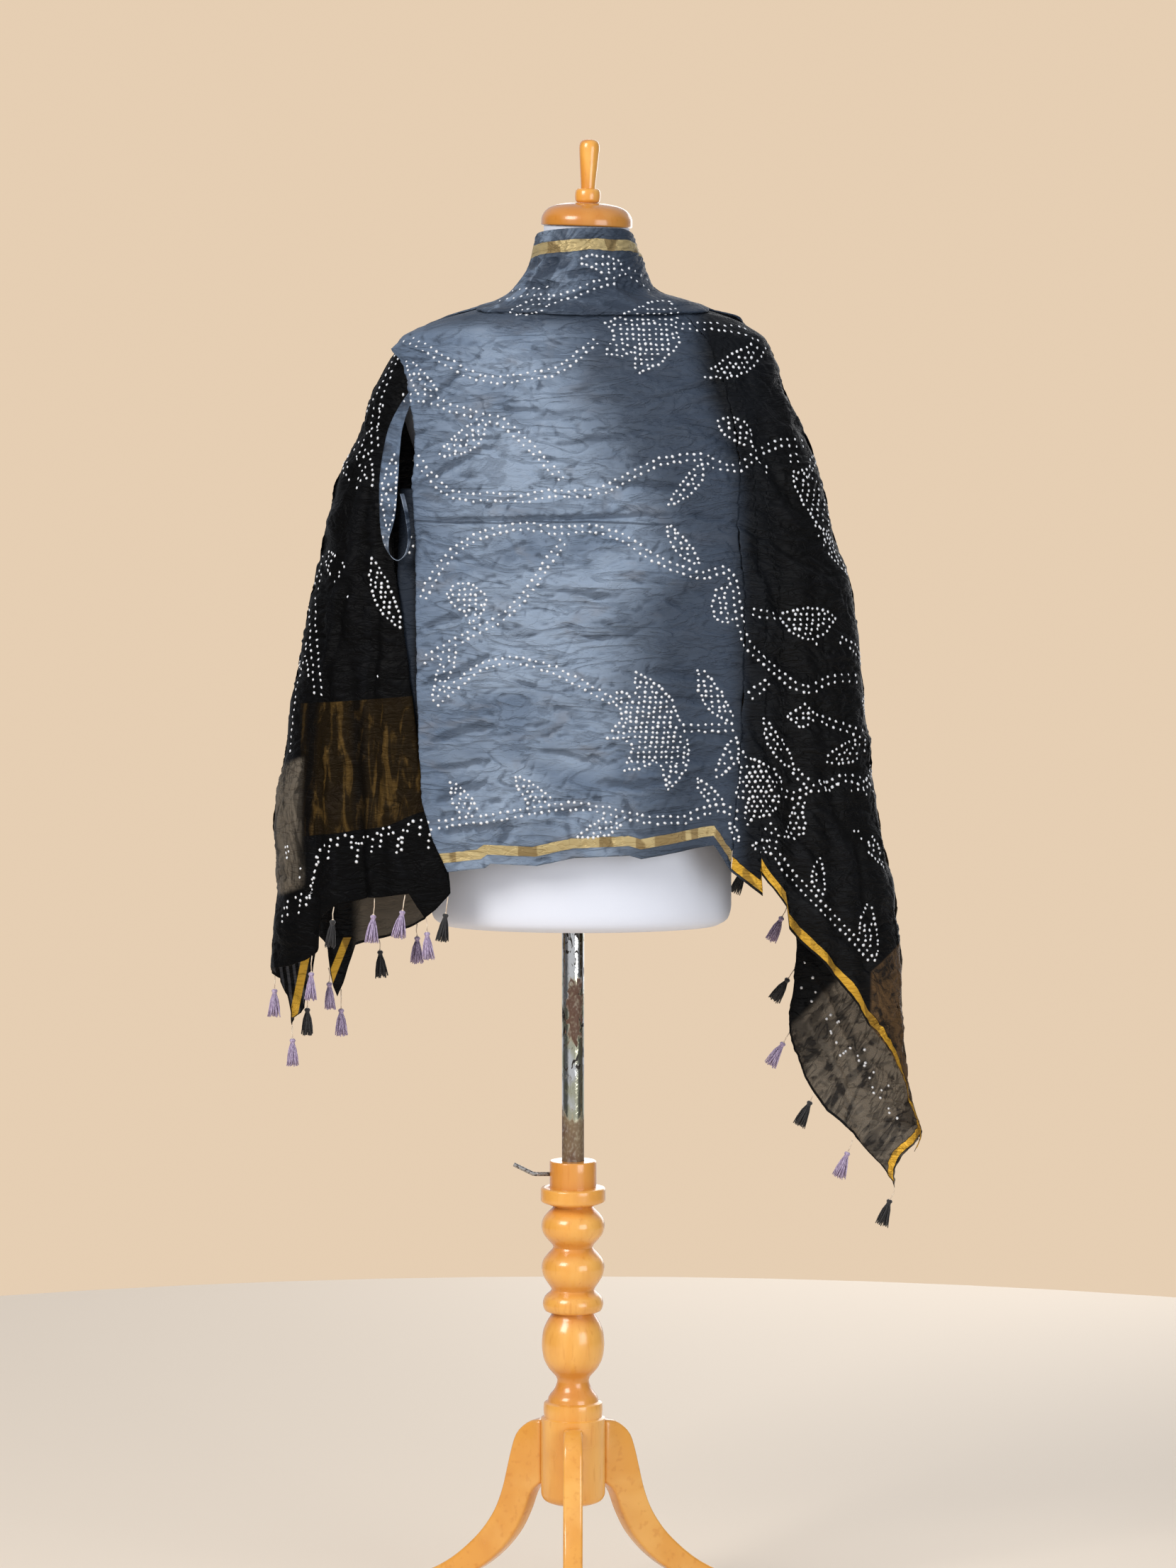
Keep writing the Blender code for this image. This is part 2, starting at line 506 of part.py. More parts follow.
STRETCHES = {
    "neck_wrap": Stretch(NECK, NECK_START_ANGLE, NECK_END_ANGLE, NECK_TOP_EDGE, NECK_FOLD_EDGE,
                         BACK, 34, 8, 0.0, 0, 0, 0, "stole_grey", []),
    "back_panel": Stretch(DRAPE, BACK_FOLD_EDGE, SIDE_CREASE, LEVEL_TOP, BACK_HEM,
                          BACK, 18, 16, 0.0, 0, 0, 0, "stole_grey", BACK_CREASES),
    "right_drape": Stretch(DRAPE, SIDE_CREASE, RIGHT_FOLD_ANGLE, LEVEL_TOP, RIGHT_HEM,
                           BACK, 16, 16, 0.0, 0, 0, 0, "stole_black", RIGHT_CREASES),
    "right_end": Stretch(DRAPE, RIGHT_FOLD_ANGLE, RIGHT_END_EDGE, RIGHT_END_TOP, RIGHT_END_HEM,
                         FRONT, 14, 16, 0.0, 0, 0, 0, "stole_sheer", RIGHT_END_CREASES),
    "left_end_outer": Stretch(DRAPE, LEFT_FOLD_ANGLE, LEFT_PANEL_EDGE, LEFT_TOP, LEFT_HEM,
                              BACK, 16, 16, 0.0, 0, 0.006, 0.006, "stole_black", LEFT_CREASES),
    "left_end_front": Stretch(DRAPE, LEFT_FRONT_EDGE, LEFT_FOLD_ANGLE, LEFT_FRONT_TOP,
                              LEFT_FRONT_HEM, FRONT, 10, 16, 0.0, 0, 0, 0.006, "stole_black",
                              LEFT_FRONT_CREASES),
    "left_return": Stretch(DRAPE, LEFT_RETURN_START, LEFT_RETURN_END, RETURN_TOP, RETURN_HEM,
                           BACK, 6, 10, -0.0078, 0, 0, 0, "stole_black", []),
}


def edge_angles(table, edge, z):
    """Angle of a stretch's edge at heights z; a fold on the silhouette has one fixed angle."""
    if isinstance(edge, float):
        return np.full(np.shape(z), edge)
    rows = sorted(edge)
    angles = [angle_at(table, row.x, row.z, row.face) for row in rows]
    return smooth_curve([row.z for row in rows], angles, z)


def arc_pace(table, angle, z):
    """Length along a section for each radian of angle there."""
    left, right, back, _ = half_sizes(table, z)
    across = np.where(np.cos(angle) > 0, right, left)
    return np.maximum(np.hypot(across * np.sin(angle), back * np.cos(angle)), 0.02)


def hem_shares(stretch):
    """The hem as (share, z) rows in order, whatever way its table gives it."""
    if isinstance(stretch.hem[0], TopPoint):
        return stretch.hem
    rows = []
    for point in stretch.hem:
        angle = angle_at(stretch.table, point.x, point.z, stretch.face)
        start = float(edge_angles(stretch.table, stretch.start, point.z))
        end = float(edge_angles(stretch.table, stretch.end, point.z))
        rows.append(TopPoint(min(max((angle - start) / (end - start), 0.0), 1.0), point.z))
    rows.sort()
    rows[0] = TopPoint(0.0, rows[0].z)
    rows[-1] = TopPoint(1.0, rows[-1].z)
    return rows


def crease_relief(creases, x, z):
    """How far the folds sink the face, from each fold's line, width and depth."""
    sunk = np.zeros(np.shape(x))
    for fold in creases:
        along = (fold.top_z - z) / (fold.top_z - fold.low_z)
        line = fold.top_x + (fold.low_x - fold.top_x) * along
        reach = np.clip(along, 0, 1) ** 0.7 * np.where(along > 0, 1, 0)
        sunk += fold.depth * reach * np.exp(-((x - line) / fold.width) ** 2)
    return sunk


def stretch_points(name, shares, falls):
    """Outer face and normals at shares along a stretch and falls (0 top, 1 hem) down it."""
    stretch = STRETCHES[name]
    hem = hem_shares(stretch)
    top_z = smooth_curve([p.share for p in stretch.top], [p.z for p in stretch.top], shares)
    hem_z = np.interp(shares, [p.share for p in hem], [p.z for p in hem])
    z = top_z + (hem_z - top_z) * falls
    start = edge_angles(stretch.table, stretch.start, z)
    end = edge_angles(stretch.table, stretch.end, z)
    start = start + SEAM_GAP / 2 / arc_pace(stretch.table, start, z)
    end = end - SEAM_GAP / 2 / arc_pace(stretch.table, end, z)
    angle = start + (end - start) * shares
    flat = on_drape(stretch.table, angle, z)
    inner_part = np.clip(12 * shares * (1 - shares), 0, 1)
    out = stretch.out - crease_relief(stretch.creases, flat[..., 0], z) * inner_part
    out = out - stretch.tuck_start * (1 - shares) ** 4 - stretch.tuck_end * shares**4
    out = out - stretch.tuck_top * np.clip((z - 1.30) / 0.10, 0, 1)
    grid = on_drape(stretch.table, angle, z, out)
    return grid, wall_normals(stretch.table, grid, angle, inner_part)


def column_shares(name, count):
    """Shares of the columns: one at each point of the hem, and even ones between them."""
    corners = [p.share for p in hem_shares(STRETCHES[name])]
    even = [s for s in np.linspace(0, 1, count) if min(abs(s - c) for c in corners) > 0.5 / count]
    return np.array(sorted(set(even + corners)))


def row_falls(count):
    """Falls of the rows, closer together over the shoulders."""
    return np.linspace(0, 1, count) ** 1.7


def unit(vectors):
    return vectors / np.linalg.norm(vectors, axis=-1, keepdims=True)


def wall_normals(table, grid, angle, calm):
    """Outward unit normals: the plain drape's at the seams, the creased face's between them."""
    z = grid[..., 2]
    step = 0.0005
    along = on_drape(table, angle + step, z) - on_drape(table, angle - step, z)
    up = on_drape(table, angle, z + step) - on_drape(table, angle, z - step)
    plain = unit(np.cross(along, up))
    creased = unit(np.cross(np.gradient(grid, axis=0), np.gradient(grid, axis=1)))
    creased *= np.sign(np.sum(creased * plain, axis=-1, keepdims=True))
    return unit(plain + (creased - plain) * calm[..., None])


def grid_to_wall(grid, normals, thickness):
    """Closed wall: the grid, its copy moved inward, and strips round the border."""
    shape = bmesh.new()
    outer = [[shape.verts.new(p) for p in line] for line in grid]
    inner = [[shape.verts.new(p) for p in line] for line in grid - normals * thickness]
    last_column = len(outer) - 1
    last_row = len(outer[0]) - 1
    for i in range(last_column):
        for j in range(last_row):
            shape.faces.new((outer[i][j], outer[i + 1][j], outer[i + 1][j + 1], outer[i][j + 1]))
            shape.faces.new((inner[i][j], inner[i][j + 1], inner[i + 1][j + 1], inner[i + 1][j]))
    for i in range(last_column):
        for j in (0, last_row):
            shape.faces.new((outer[i][j], outer[i + 1][j], inner[i + 1][j], inner[i][j]))
    for j in range(last_row):
        for i in (0, last_column):
            shape.faces.new((outer[i][j], outer[i][j + 1], inner[i][j + 1], inner[i][j]))
    return shape


WALLS = {}


def make_stretch(name, parent):
    stretch = STRETCHES[name]
    shares, falls = np.meshgrid(
        column_shares(name, stretch.columns), row_falls(stretch.rows), indexing="ij")
    grid, normals = stretch_points(name, shares, falls)
    WALLS[name] = (grid, normals)
    return add_object(name, grid_to_wall(grid, normals, WALL), stretch.finish, parent)


# Cloth: the narrow fold that hangs from the left shoulder and turns up in a loop

BandPoint = namedtuple("BandPoint", "x z out half_width facing")
FOLD_STRIP = [
    BandPoint(-0.1750, 1.4040, -0.0027, 0.0060, -29), BandPoint(-0.1870, 1.3860, -0.0036, 0.0070, -31),
    BandPoint(-0.1985, 1.3550, 0.0010, 0.0095, -30), BandPoint(-0.2040, 1.3050, 0.0070, 0.0120, -30),
    BandPoint(-0.2055, 1.2650, 0.0110, 0.0110, -38), BandPoint(-0.2075, 1.2400, 0.0125, 0.0085, -62),
    BandPoint(-0.2035, 1.2240, 0.0130, 0.0080, -84), BandPoint(-0.1935, 1.2165, 0.0110, 0.0080, -92),
    BandPoint(-0.1838, 1.2245, 0.0090, 0.0080, -96), BandPoint(-0.1802, 1.2420, 0.0080, 0.0075, -100),
    BandPoint(-0.1830, 1.2660, 0.0080, 0.0065, -105), BandPoint(-0.1885, 1.2900, 0.0060, 0.0055, -110),
]


def strip_grid(along, across):
    """Face of the strip at shares along it and from -1 to 1 across it, with its normals."""
    keys = np.linspace(0, 1, len(FOLD_STRIP))
    x, z, out, half, facing = (
        smooth_curve(keys, [row[k] for row in FOLD_STRIP], along) for k in range(5))
    left, _, back, _ = half_sizes(DRAPE, z)
    y = -(back + out) * np.sqrt(1 - ((x - FORM_X) / (left + out)) ** 2)
    facing = np.radians(facing)
    grid = np.stack((x + half * across * np.cos(facing), y + half * across * np.sin(facing), z), -1)
    normal = unit(np.cross(np.gradient(grid, axis=0), np.gradient(grid, axis=1)))
    return grid, -normal if normal[0, 0, 1] > 0 else normal


def make_fold_strip(parent):
    along, across = np.meshgrid(np.linspace(0, 1, 31), np.linspace(-1, 1, 3), indexing="ij")
    grid, normals = strip_grid(along, across)
    return add_object("left_fold_strip", grid_to_wall(grid, normals, WALL), "stole_grey", parent)


# Tassels along both end edges

TASSEL_SPACING = 0.073
Tassel = namedtuple("Tassel", "x colour string lean")
LEFT_OUTER_TASSELS = [
    Tassel(-0.1390, "black", 0.018, -8), Tassel(-0.1630, "purple", 0.015, 4),
    Tassel(-0.1860, "purple", 0.017, -9), Tassel(-0.2210, "purple", 0.018, -4),
    Tassel(-0.2670, "black", 0.014, -6), Tassel(-0.2930, "purple", 0.018, -3),
]
LEFT_FRONT_TASSELS = [
    Tassel(-0.3380, "purple", 0.014, 3), Tassel(-0.3190, "purple", 0.014, 0),
    Tassel(-0.3040, "black", 0.014, 0), Tassel(-0.2790, "purple", 0.016, -3),
    Tassel(-0.2660, "purple", 0.022, 0), Tassel(-0.2230, "black", 0.012, 4),
    Tassel(-0.1800, "purple", 0.014, 0),
]
RIGHT_TASSEL_COUNT = 13
RIGHT_STRING = 0.014
RIGHT_LEAN = 12


def tassel_shape(string):
    """String, wound head and a ring of strands fused to it, hanging from the local origin."""
    shape = bmesh.new()
    head_top = -string
    profile = [
        (STRING_RADIUS, 0.0), (STRING_RADIUS, head_top), (HEAD_RADIUS * 0.85, head_top - 0.0016),
        (HEAD_RADIUS, head_top - 0.0036), (HEAD_RADIUS * 0.72, head_top - 0.0064),
    ]
    turn = [2 * math.pi * i / STRANDS for i in range(STRANDS)]
    loops = [
        [shape.verts.new((r * math.cos(a), r * math.sin(a), z)) for a in turn] for r, z in profile]
    core = [shape.verts.new((0.0011 * math.cos(a), 0.0011 * math.sin(a), head_top - 0.0068))
            for a in turn]
    shape.faces.new(loops[0])
    shape.faces.new(core)
    for upper, lower in zip(loops[:-1], loops[1:]):
        for i in range(STRANDS):
            j = (i + 1) % STRANDS
            shape.faces.new((upper[i], upper[j], lower[j], lower[i]))
    roots = []
    for i in range(STRANDS):
        j = (i + 1) % STRANDS
        roots.append(shape.faces.new((loops[-1][i], loops[-1][j], core[j], core[i])))
    for face in bmesh.ops.extrude_discrete_faces(shape, faces=roots)["faces"]:
        middle = face.calc_center_median()
        heading = Vector((middle.x, middle.y, 0)).normalized()
        tip = heading * (SKIRT_RADIUS - 0.0012) + Vector((0, 0, head_top - 0.0064 - SKIRT_LENGTH))
        for vert in face.verts:
            vert.co = tip + (vert.co - middle) * 0.8
    return shape


def edge_line(name, side):
    """Middle line of a wall's hem or end edge, and the direction away from the cloth there."""
    grid, normals = WALLS[name]
    middle = grid - normals * WALL / 2
    edge, before = (middle[:, -1], middle[:, -2]) if side == "hem" else (middle[-1], middle[-2])
    along = np.gradient(edge, axis=0)
    away = np.cross(along, normals[:, -1] if side == "hem" else normals[-1])
    away /= np.linalg.norm(away, axis=1, keepdims=True)
    away *= np.where(np.sum(away * (edge - before), axis=1) < 0, -1, 1)[:, None]
    return edge, away


def hang_tassel(name, colour, string, lean, point, away):
    """One tassel whose string starts a seat's gap off the cloth's edge."""
    piece = add_object(name, tassel_shape(string), "tassel_" + colour, form_axis)
    away = Vector(away)
    heading = Vector((away.x, away.y, 0))
    heading = heading.normalized() if heading.length > 0.3 else Vector((1, 0, 0))
    swing = math.radians(lean)
    hanging = Vector((0, 0, -math.cos(swing))) + heading * math.sin(swing)
    piece.location = Vector(point) + away * (SEAT_GAP + STRING_RADIUS)
    piece.rotation_euler = Vector((0, 0, -1)).rotation_difference(hanging).to_euler()


def hang_by_place(prefix, stretch, rows):
    """Tassels along a hem, at the places where they show."""
    edge, away = edge_line(stretch, "hem")
    order = np.argsort(edge[:, 0])
    for i, row in enumerate(rows):
        place = [np.interp(row.x, edge[order, 0], edge[order, k]) for k in range(3)]
        out = [np.interp(row.x, edge[order, 0], away[order, k]) for k in range(3)]
        hang_tassel(f"{prefix}_{i + 1:02d}", row.colour, row.string, row.lean, place, out)


def hang_by_spacing(prefix, stretch, count):
    """Tassels at even spacing up an end edge, from its lowest corner."""
    edge, away = (line[::-1] for line in edge_line(stretch, "end"))
    run = np.concatenate(([0], np.cumsum(np.linalg.norm(np.diff(edge, axis=0), axis=1))))
    for i in range(count):
        at = min(i * TASSEL_SPACING + 0.001, run[-1])
        place = [np.interp(at, run, edge[:, k]) for k in range(3)]
        out = [np.interp(at, run, away[:, k]) for k in range(3)]
        colour = "black" if i % 2 == 0 else "purple"
        upright = 1 - abs(out[2])
        hang_tassel(f"{prefix}_{i + 1:02d}", colour, RIGHT_STRING, RIGHT_LEAN + 24 * upright, place, out)


# The whole

stand_axis = add_empty("stand_axis", AXIS_X, AXIS_Y, 0)
form_axis = add_empty("form_axis", 0, 0, 0, stand_axis)
screw_axis = add_empty("screw_axis", 0, 0, SCREW_HEIGHT, stand_axis)

make_column(stand_axis)
for leg_name, leg_degrees in LEG_ANGLES.items():
    make_leg(leg_name, leg_degrees, stand_axis)
make_screw(screw_axis)

pole_sides = turned([(POLE_RADIUS, FORM_BOTTOM - SEAT_GAP), (POLE_RADIUS, POLE_BOTTOM)])
add_object("pole", pole_sides, "worn_chrome", form_axis)
make_torso(form_axis)
make_cap(form_axis)
make_finial(form_axis)

for stretch_name in STRETCHES:
    make_stretch(stretch_name, form_axis)
make_fold_strip(form_axis)
hang_by_place("tassel_left_outer", "left_end_outer", LEFT_OUTER_TASSELS)
hang_by_place("tassel_left_front", "left_end_front", LEFT_FRONT_TASSELS)
hang_by_spacing("tassel_right", "right_end", RIGHT_TASSEL_COUNT)
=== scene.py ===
"""Looks of a tie-dyed silk dupatta stole on a limbless dress form with a turned stand.

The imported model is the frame. Metres, +Z up; the stole's back faces -Y, where the camera is.
Sizes are given from the stand's own vertical axis, which the frame's turning joint states.
"""
import json
import math
from collections import namedtuple

import bpy
import numpy as np
from mathutils import Matrix, Vector
from mathutils.bvhtree import BVHTree


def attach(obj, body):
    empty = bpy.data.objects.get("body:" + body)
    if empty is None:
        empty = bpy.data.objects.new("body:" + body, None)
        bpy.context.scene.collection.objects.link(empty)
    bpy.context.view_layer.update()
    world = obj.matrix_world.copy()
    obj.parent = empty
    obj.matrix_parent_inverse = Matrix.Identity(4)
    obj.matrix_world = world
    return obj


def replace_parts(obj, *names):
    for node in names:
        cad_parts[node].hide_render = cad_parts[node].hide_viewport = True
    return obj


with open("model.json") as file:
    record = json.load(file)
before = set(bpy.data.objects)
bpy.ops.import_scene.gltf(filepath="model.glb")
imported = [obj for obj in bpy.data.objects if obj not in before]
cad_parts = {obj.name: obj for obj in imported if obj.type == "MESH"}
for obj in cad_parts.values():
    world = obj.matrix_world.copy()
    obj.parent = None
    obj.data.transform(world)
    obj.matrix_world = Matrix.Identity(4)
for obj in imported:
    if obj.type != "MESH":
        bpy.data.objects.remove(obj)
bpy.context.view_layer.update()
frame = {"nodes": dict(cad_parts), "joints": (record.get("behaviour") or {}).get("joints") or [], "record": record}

# View, floor and light
# A plain pale floor in a plain warm room, soft light from both sides and from the front, and an
# eye level with the form's shoulders, straight behind it.
form_turn = next(joint for joint in frame["joints"] if joint["name"] == "form_turn")
AXIS_X, AXIS_Y, FORM_BOTTOM = form_turn["pos_m"]
EYE_X, EYE_DISTANCE, EYE_HEIGHT = 0.017, 6.5, 1.52
AIM_HEIGHT = 0.959
VIEW_ANGLE = math.radians(15.45)
FILM_WIDTH = 36
FAR_END = 60
FLOOR_RADIUS, FLOOR_LEVEL = 2.3, -0.0005
FLOOR_COLOUR = (0.86, 0.74, 0.60, 1)
LIGHT_AIM = 1.1
ROOM_COLOUR = (0.79, 0.62, 0.45, 1)
ROOM_LIGHT = (0.90, 0.93, 1.0, 1)
DIMMED_FROM, DIMMED_TO = 0.66, 0.92
MIDDLE_STRENGTH, SIDE_STRENGTH = 0.56, 0.10

eye = Vector((AXIS_X + EYE_X, AXIS_Y - EYE_DISTANCE, EYE_HEIGHT))
aim = Vector((AXIS_X + EYE_X, AXIS_Y, AIM_HEIGHT))
bpy.ops.object.camera_add(location=eye, rotation=(aim - eye).to_track_quat("-Z", "Y").to_euler())
camera = bpy.context.object
camera.data.sensor_width = FILM_WIDTH
camera.data.lens = FILM_WIDTH / 2 / math.tan(VIEW_ANGLE / 2)
camera.data.clip_end = FAR_END
bpy.context.scene.camera = camera
bpy.context.scene.view_settings.view_transform = "Standard"

bpy.ops.mesh.primitive_circle_add(
    vertices=96, radius=FLOOR_RADIUS, fill_type="NGON", location=(AXIS_X, AXIS_Y, FLOOR_LEVEL))
floor = bpy.context.object
floor.name = "floor"
floor_finish = bpy.data.materials.new("pale_floor")
floor_finish.use_nodes = True
floor_shader = floor_finish.node_tree.nodes["Principled BSDF"]
floor_shader.inputs["Base Color"].default_value = FLOOR_COLOUR
floor_shader.inputs["Roughness"].default_value = 0.7
floor.data.materials.append(floor_finish)


def add_light(name, x, y, z, size, watts, tint):
    """Square soft light aimed at the middle of the stole."""
    place = Vector((AXIS_X + x, AXIS_Y + y, z))
    heading = Vector((AXIS_X, AXIS_Y, LIGHT_AIM)) - place
    bpy.ops.object.light_add(type="AREA", location=place,
                             rotation=heading.to_track_quat("-Z", "Y").to_euler())
    light = bpy.context.object
    light.name = name
    light.data.size = size
    light.data.energy = watts
    light.data.color = tint


add_light("key_light", x=-2.3, y=-2.5, z=3.1, size=1.8, watts=113, tint=(1.0, 0.97, 0.94))
add_light("fill_light", x=2.6, y=-3.4, z=1.3, size=2.2, watts=64, tint=(0.94, 0.97, 1.0))
add_light("front_light", x=0.9, y=3.2, z=1.4, size=2.2, watts=30, tint=(1.0, 0.98, 0.96))

# The room lights evenly from all round but dims toward both sides, and shows as one plain colour
world = bpy.data.worlds.new("room")
world.use_nodes = True
bpy.context.scene.world = world
room = world.node_tree
ambient = room.nodes["Background"]
ambient.inputs["Color"].default_value = ROOM_LIGHT
heading = room.nodes.new("ShaderNodeTexCoord")
split = room.nodes.new("ShaderNodeSeparateXYZ")
sideways = room.nodes.new("ShaderNodeMath")
sideways.operation = "ABSOLUTE"
darker_sides = room.nodes.new("ShaderNodeMapRange")
darker_sides.interpolation_type = "SMOOTHSTEP"
for socket, value in enumerate((DIMMED_FROM, DIMMED_TO, MIDDLE_STRENGTH, SIDE_STRENGTH), start=1):
    darker_sides.inputs[socket].default_value = value
room.links.new(heading.outputs["Generated"], split.inputs[0])
room.links.new(split.outputs[0], sideways.inputs[0])
room.links.new(sideways.outputs[0], darker_sides.inputs[0])
room.links.new(darker_sides.outputs[0], ambient.inputs["Strength"])
wall = room.nodes.new("ShaderNodeBackground")
wall.inputs["Color"].default_value = ROOM_COLOUR
seen = room.nodes.new("ShaderNodeLightPath")
either = room.nodes.new("ShaderNodeMixShader")
room.links.new(seen.outputs["Is Camera Ray"], either.inputs[0])
room.links.new(ambient.outputs[0], either.inputs[1])
room.links.new(wall.outputs[0], either.inputs[2])
room.links.new(either.outputs[0], room.nodes["World Output"].inputs["Surface"])

# Column of the stand
# One billet of light hardwood, turned on a lathe to a row of beads above a straight hub, bored
# for the pole from above, and finished in glossy amber varnish.
TURN_SIDES = 72
COLUMN_TOP = 0.530
BORE_RADIUS = 0.0130
BORE_BOTTOM = 0.170
COLUMN = [
    (0.0240, 0.1360), (0.0330, 0.1400), (0.0365, 0.1480), (0.0365, 0.2344), (0.0330, 0.2360),
    (0.0337, 0.2440), (0.0330, 0.2520), (0.0290, 0.2540), (0.0280, 0.2584), (0.0205, 0.2690),
    (0.0180, 0.2784), (0.0280, 0.2920), (0.0340, 0.3050), (0.0357, 0.3192), (0.0345, 0.3330),
    (0.0300, 0.3450), (0.0242, 0.3552), (0.0320, 0.3585), (0.0345, 0.3664), (0.0320, 0.3745),
    (0.0245, 0.3824), (0.0290, 0.3900), (0.0345, 0.4000), (0.0358, 0.4080), (0.0345, 0.4150),
    (0.0290, 0.4230), (0.0225, 0.4312), (0.0290, 0.4400), (0.0345, 0.4480), (0.0360, 0.4560),
    (0.0345, 0.4630), (0.0295, 0.4700), (0.0225, 0.4776), (0.0350, 0.4828), (0.0368, 0.4850),
    (0.0368, 0.4970), (0.0355, 0.4992), (0.0265, 0.5000), (0.0265, 0.5285), (0.0255, COLUMN_TOP),
]


def smooth_curve(keys, values, at):
    """Read, at any keys, the smooth curve through the pairs that never overshoots them."""
    keys, values = np.asarray(keys, float), np.asarray(values, float)
    step = np.diff(keys)
    slope = np.diff(values) / step
    total = slope[:-1] + slope[1:]
    product = slope[:-1] * slope[1:]
    inner = np.where(product > 0, 2 * product / np.where(np.abs(total) < 1e-12, 1.0, total), 0.0)
    tangent = np.concatenate(([slope[0]], inner, [slope[-1]]))
    at = np.clip(at, keys[0], keys[-1])
    i = np.clip(np.searchsorted(keys, at) - 1, 0, len(step) - 1)
    u = (at - keys[i]) / step[i]
    start = (1 + 2 * u) * (1 - u) ** 2 * values[i] + u * (1 - u) ** 2 * step[i] * tangent[i]
    return start + u**2 * (3 - 2 * u) * values[i + 1] + u**2 * (u - 1) * step[i] * tangent[i + 1]


def run_along(rows):
    """Distance of each row's point along the line that the rows draw, from its first one."""
    return np.concatenate(([0], np.cumsum(np.linalg.norm(np.diff(rows, axis=0), axis=1))))


def points_at(rows, at):
    """Points at those distances along the line that the rows draw."""
    run = run_along(rows)
    return np.stack([np.interp(at, run, rows[:, k]) for k in range(rows.shape[1])], axis=1)


def smoothed(rows, parts=3):
    """A table's rows with smooth ones between them, evenly along the line that they draw."""
    rows = np.asarray(rows, float)
    run = run_along(rows)
    ends = [np.linspace(a, b, parts, endpoint=False) for a, b in zip(run[:-1], run[1:])]
    at = np.concatenate(ends + [run[-1:]])
    return np.stack([smooth_curve(run, rows[:, k], at) for k in range(rows.shape[1])], axis=1)


def stack_rings(name, rings, sides):
    """Extrude a disc upward ring by ring; a ring is (x, y, half width, half depth, z)."""
    x, y, wide, deep, z = rings[0]
    bpy.ops.object.select_all(action="DESELECT")
    bpy.ops.mesh.primitive_circle_add(vertices=sides, radius=1, fill_type="NGON", location=(x, y, z))
    piece = bpy.context.object
    piece.name = piece.data.name = name
    bpy.ops.object.mode_set(mode="EDIT")
    bpy.ops.mesh.select_all(action="SELECT")
    bpy.ops.transform.resize(value=(wide, deep, 1), center_override=(x, y, z))
    for last, ring in zip(rings[:-1], rings[1:]):
        rise = (ring[0] - last[0], ring[1] - last[1], ring[4] - last[4])
        bpy.ops.mesh.extrude_region_move(TRANSFORM_OT_translate={"value": rise})
        bpy.ops.transform.resize(value=(ring[2] / last[2], ring[3] / last[3], 1),
                                 center_override=(ring[0], ring[1], ring[4]))
    bpy.ops.mesh.select_all(action="SELECT")
    bpy.ops.mesh.normals_make_consistent(inside=False)
    bpy.ops.object.mode_set(mode="OBJECT")
    return piece


def pick_up(piece):
    """Select the piece alone."""
    bpy.ops.object.select_all(action="DESELECT")
    piece.select_set(True)
    bpy.context.view_layer.objects.active = piece


def settle(piece, degrees=40):
    """Put the piece's place into its mesh and shade it smooth up to a corner's angle."""
    pick_up(piece)
    bpy.ops.object.transform_apply(location=True, rotation=True, scale=True)
    bpy.ops.object.shade_smooth_by_angle(angle=math.radians(degrees))
    return piece


def turned(name, outline, x=0.0):
    """Lathe work round a vertical line, from (radius, height) rows, lowest first."""
    rings = [(AXIS_X + x, AXIS_Y, r, r, z) for r, z in outline]
    return stack_rings(name, rings, TURN_SIDES)


def stand_for(piece, body, slot, *nodes):
    """Let the piece ride on a body and show in place of the frame's nodes; the slot is not used."""
    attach(piece, body)
    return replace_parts(piece, *nodes)


class Reading:
    """A number that varies over a surface; arithmetic on it adds Math nodes."""

    def __init__(self, paint, socket):
        self.paint, self.socket = paint, socket

    def math(self, operation, *others, turned_round=False):
        """One Math node on this reading and the others, in this order or turned round."""
        values = list(reversed((self, *others))) if turned_round else (self, *others)
        node = self.paint.node("ShaderNodeMath", {"operation": operation}, dict(enumerate(values)))
        return Reading(self.paint, node.outputs[0])

    def __add__(self, other):
        return self.math("ADD", other)

    def __mul__(self, other):
        return self.math("MULTIPLY", other)

    def __sub__(self, other):
        return self.math("SUBTRACT", other)

    def __rsub__(self, other):
        return self.math("SUBTRACT", other, turned_round=True)

    __radd__ = __add__
    __rmul__ = __mul__

    def size(self):
        """The reading without its sign."""
        return self.math("ABSOLUTE")

    def between(self, low, high, soft=0.001):
        """1 inside the range and 0 outside, with soft edges."""
        return self.rise(low - soft, low + soft) * (1 - self.rise(high - soft, high + soft))

    def rise(self, low, high):
        """Smooth step from 0 at low to 1 at high."""
        node = self.paint.node(
            "ShaderNodeMapRange", {"interpolation_type": "SMOOTHSTEP"}, {0: self, 1: low, 2: high})
        return Reading(self.paint, node.outputs[0])


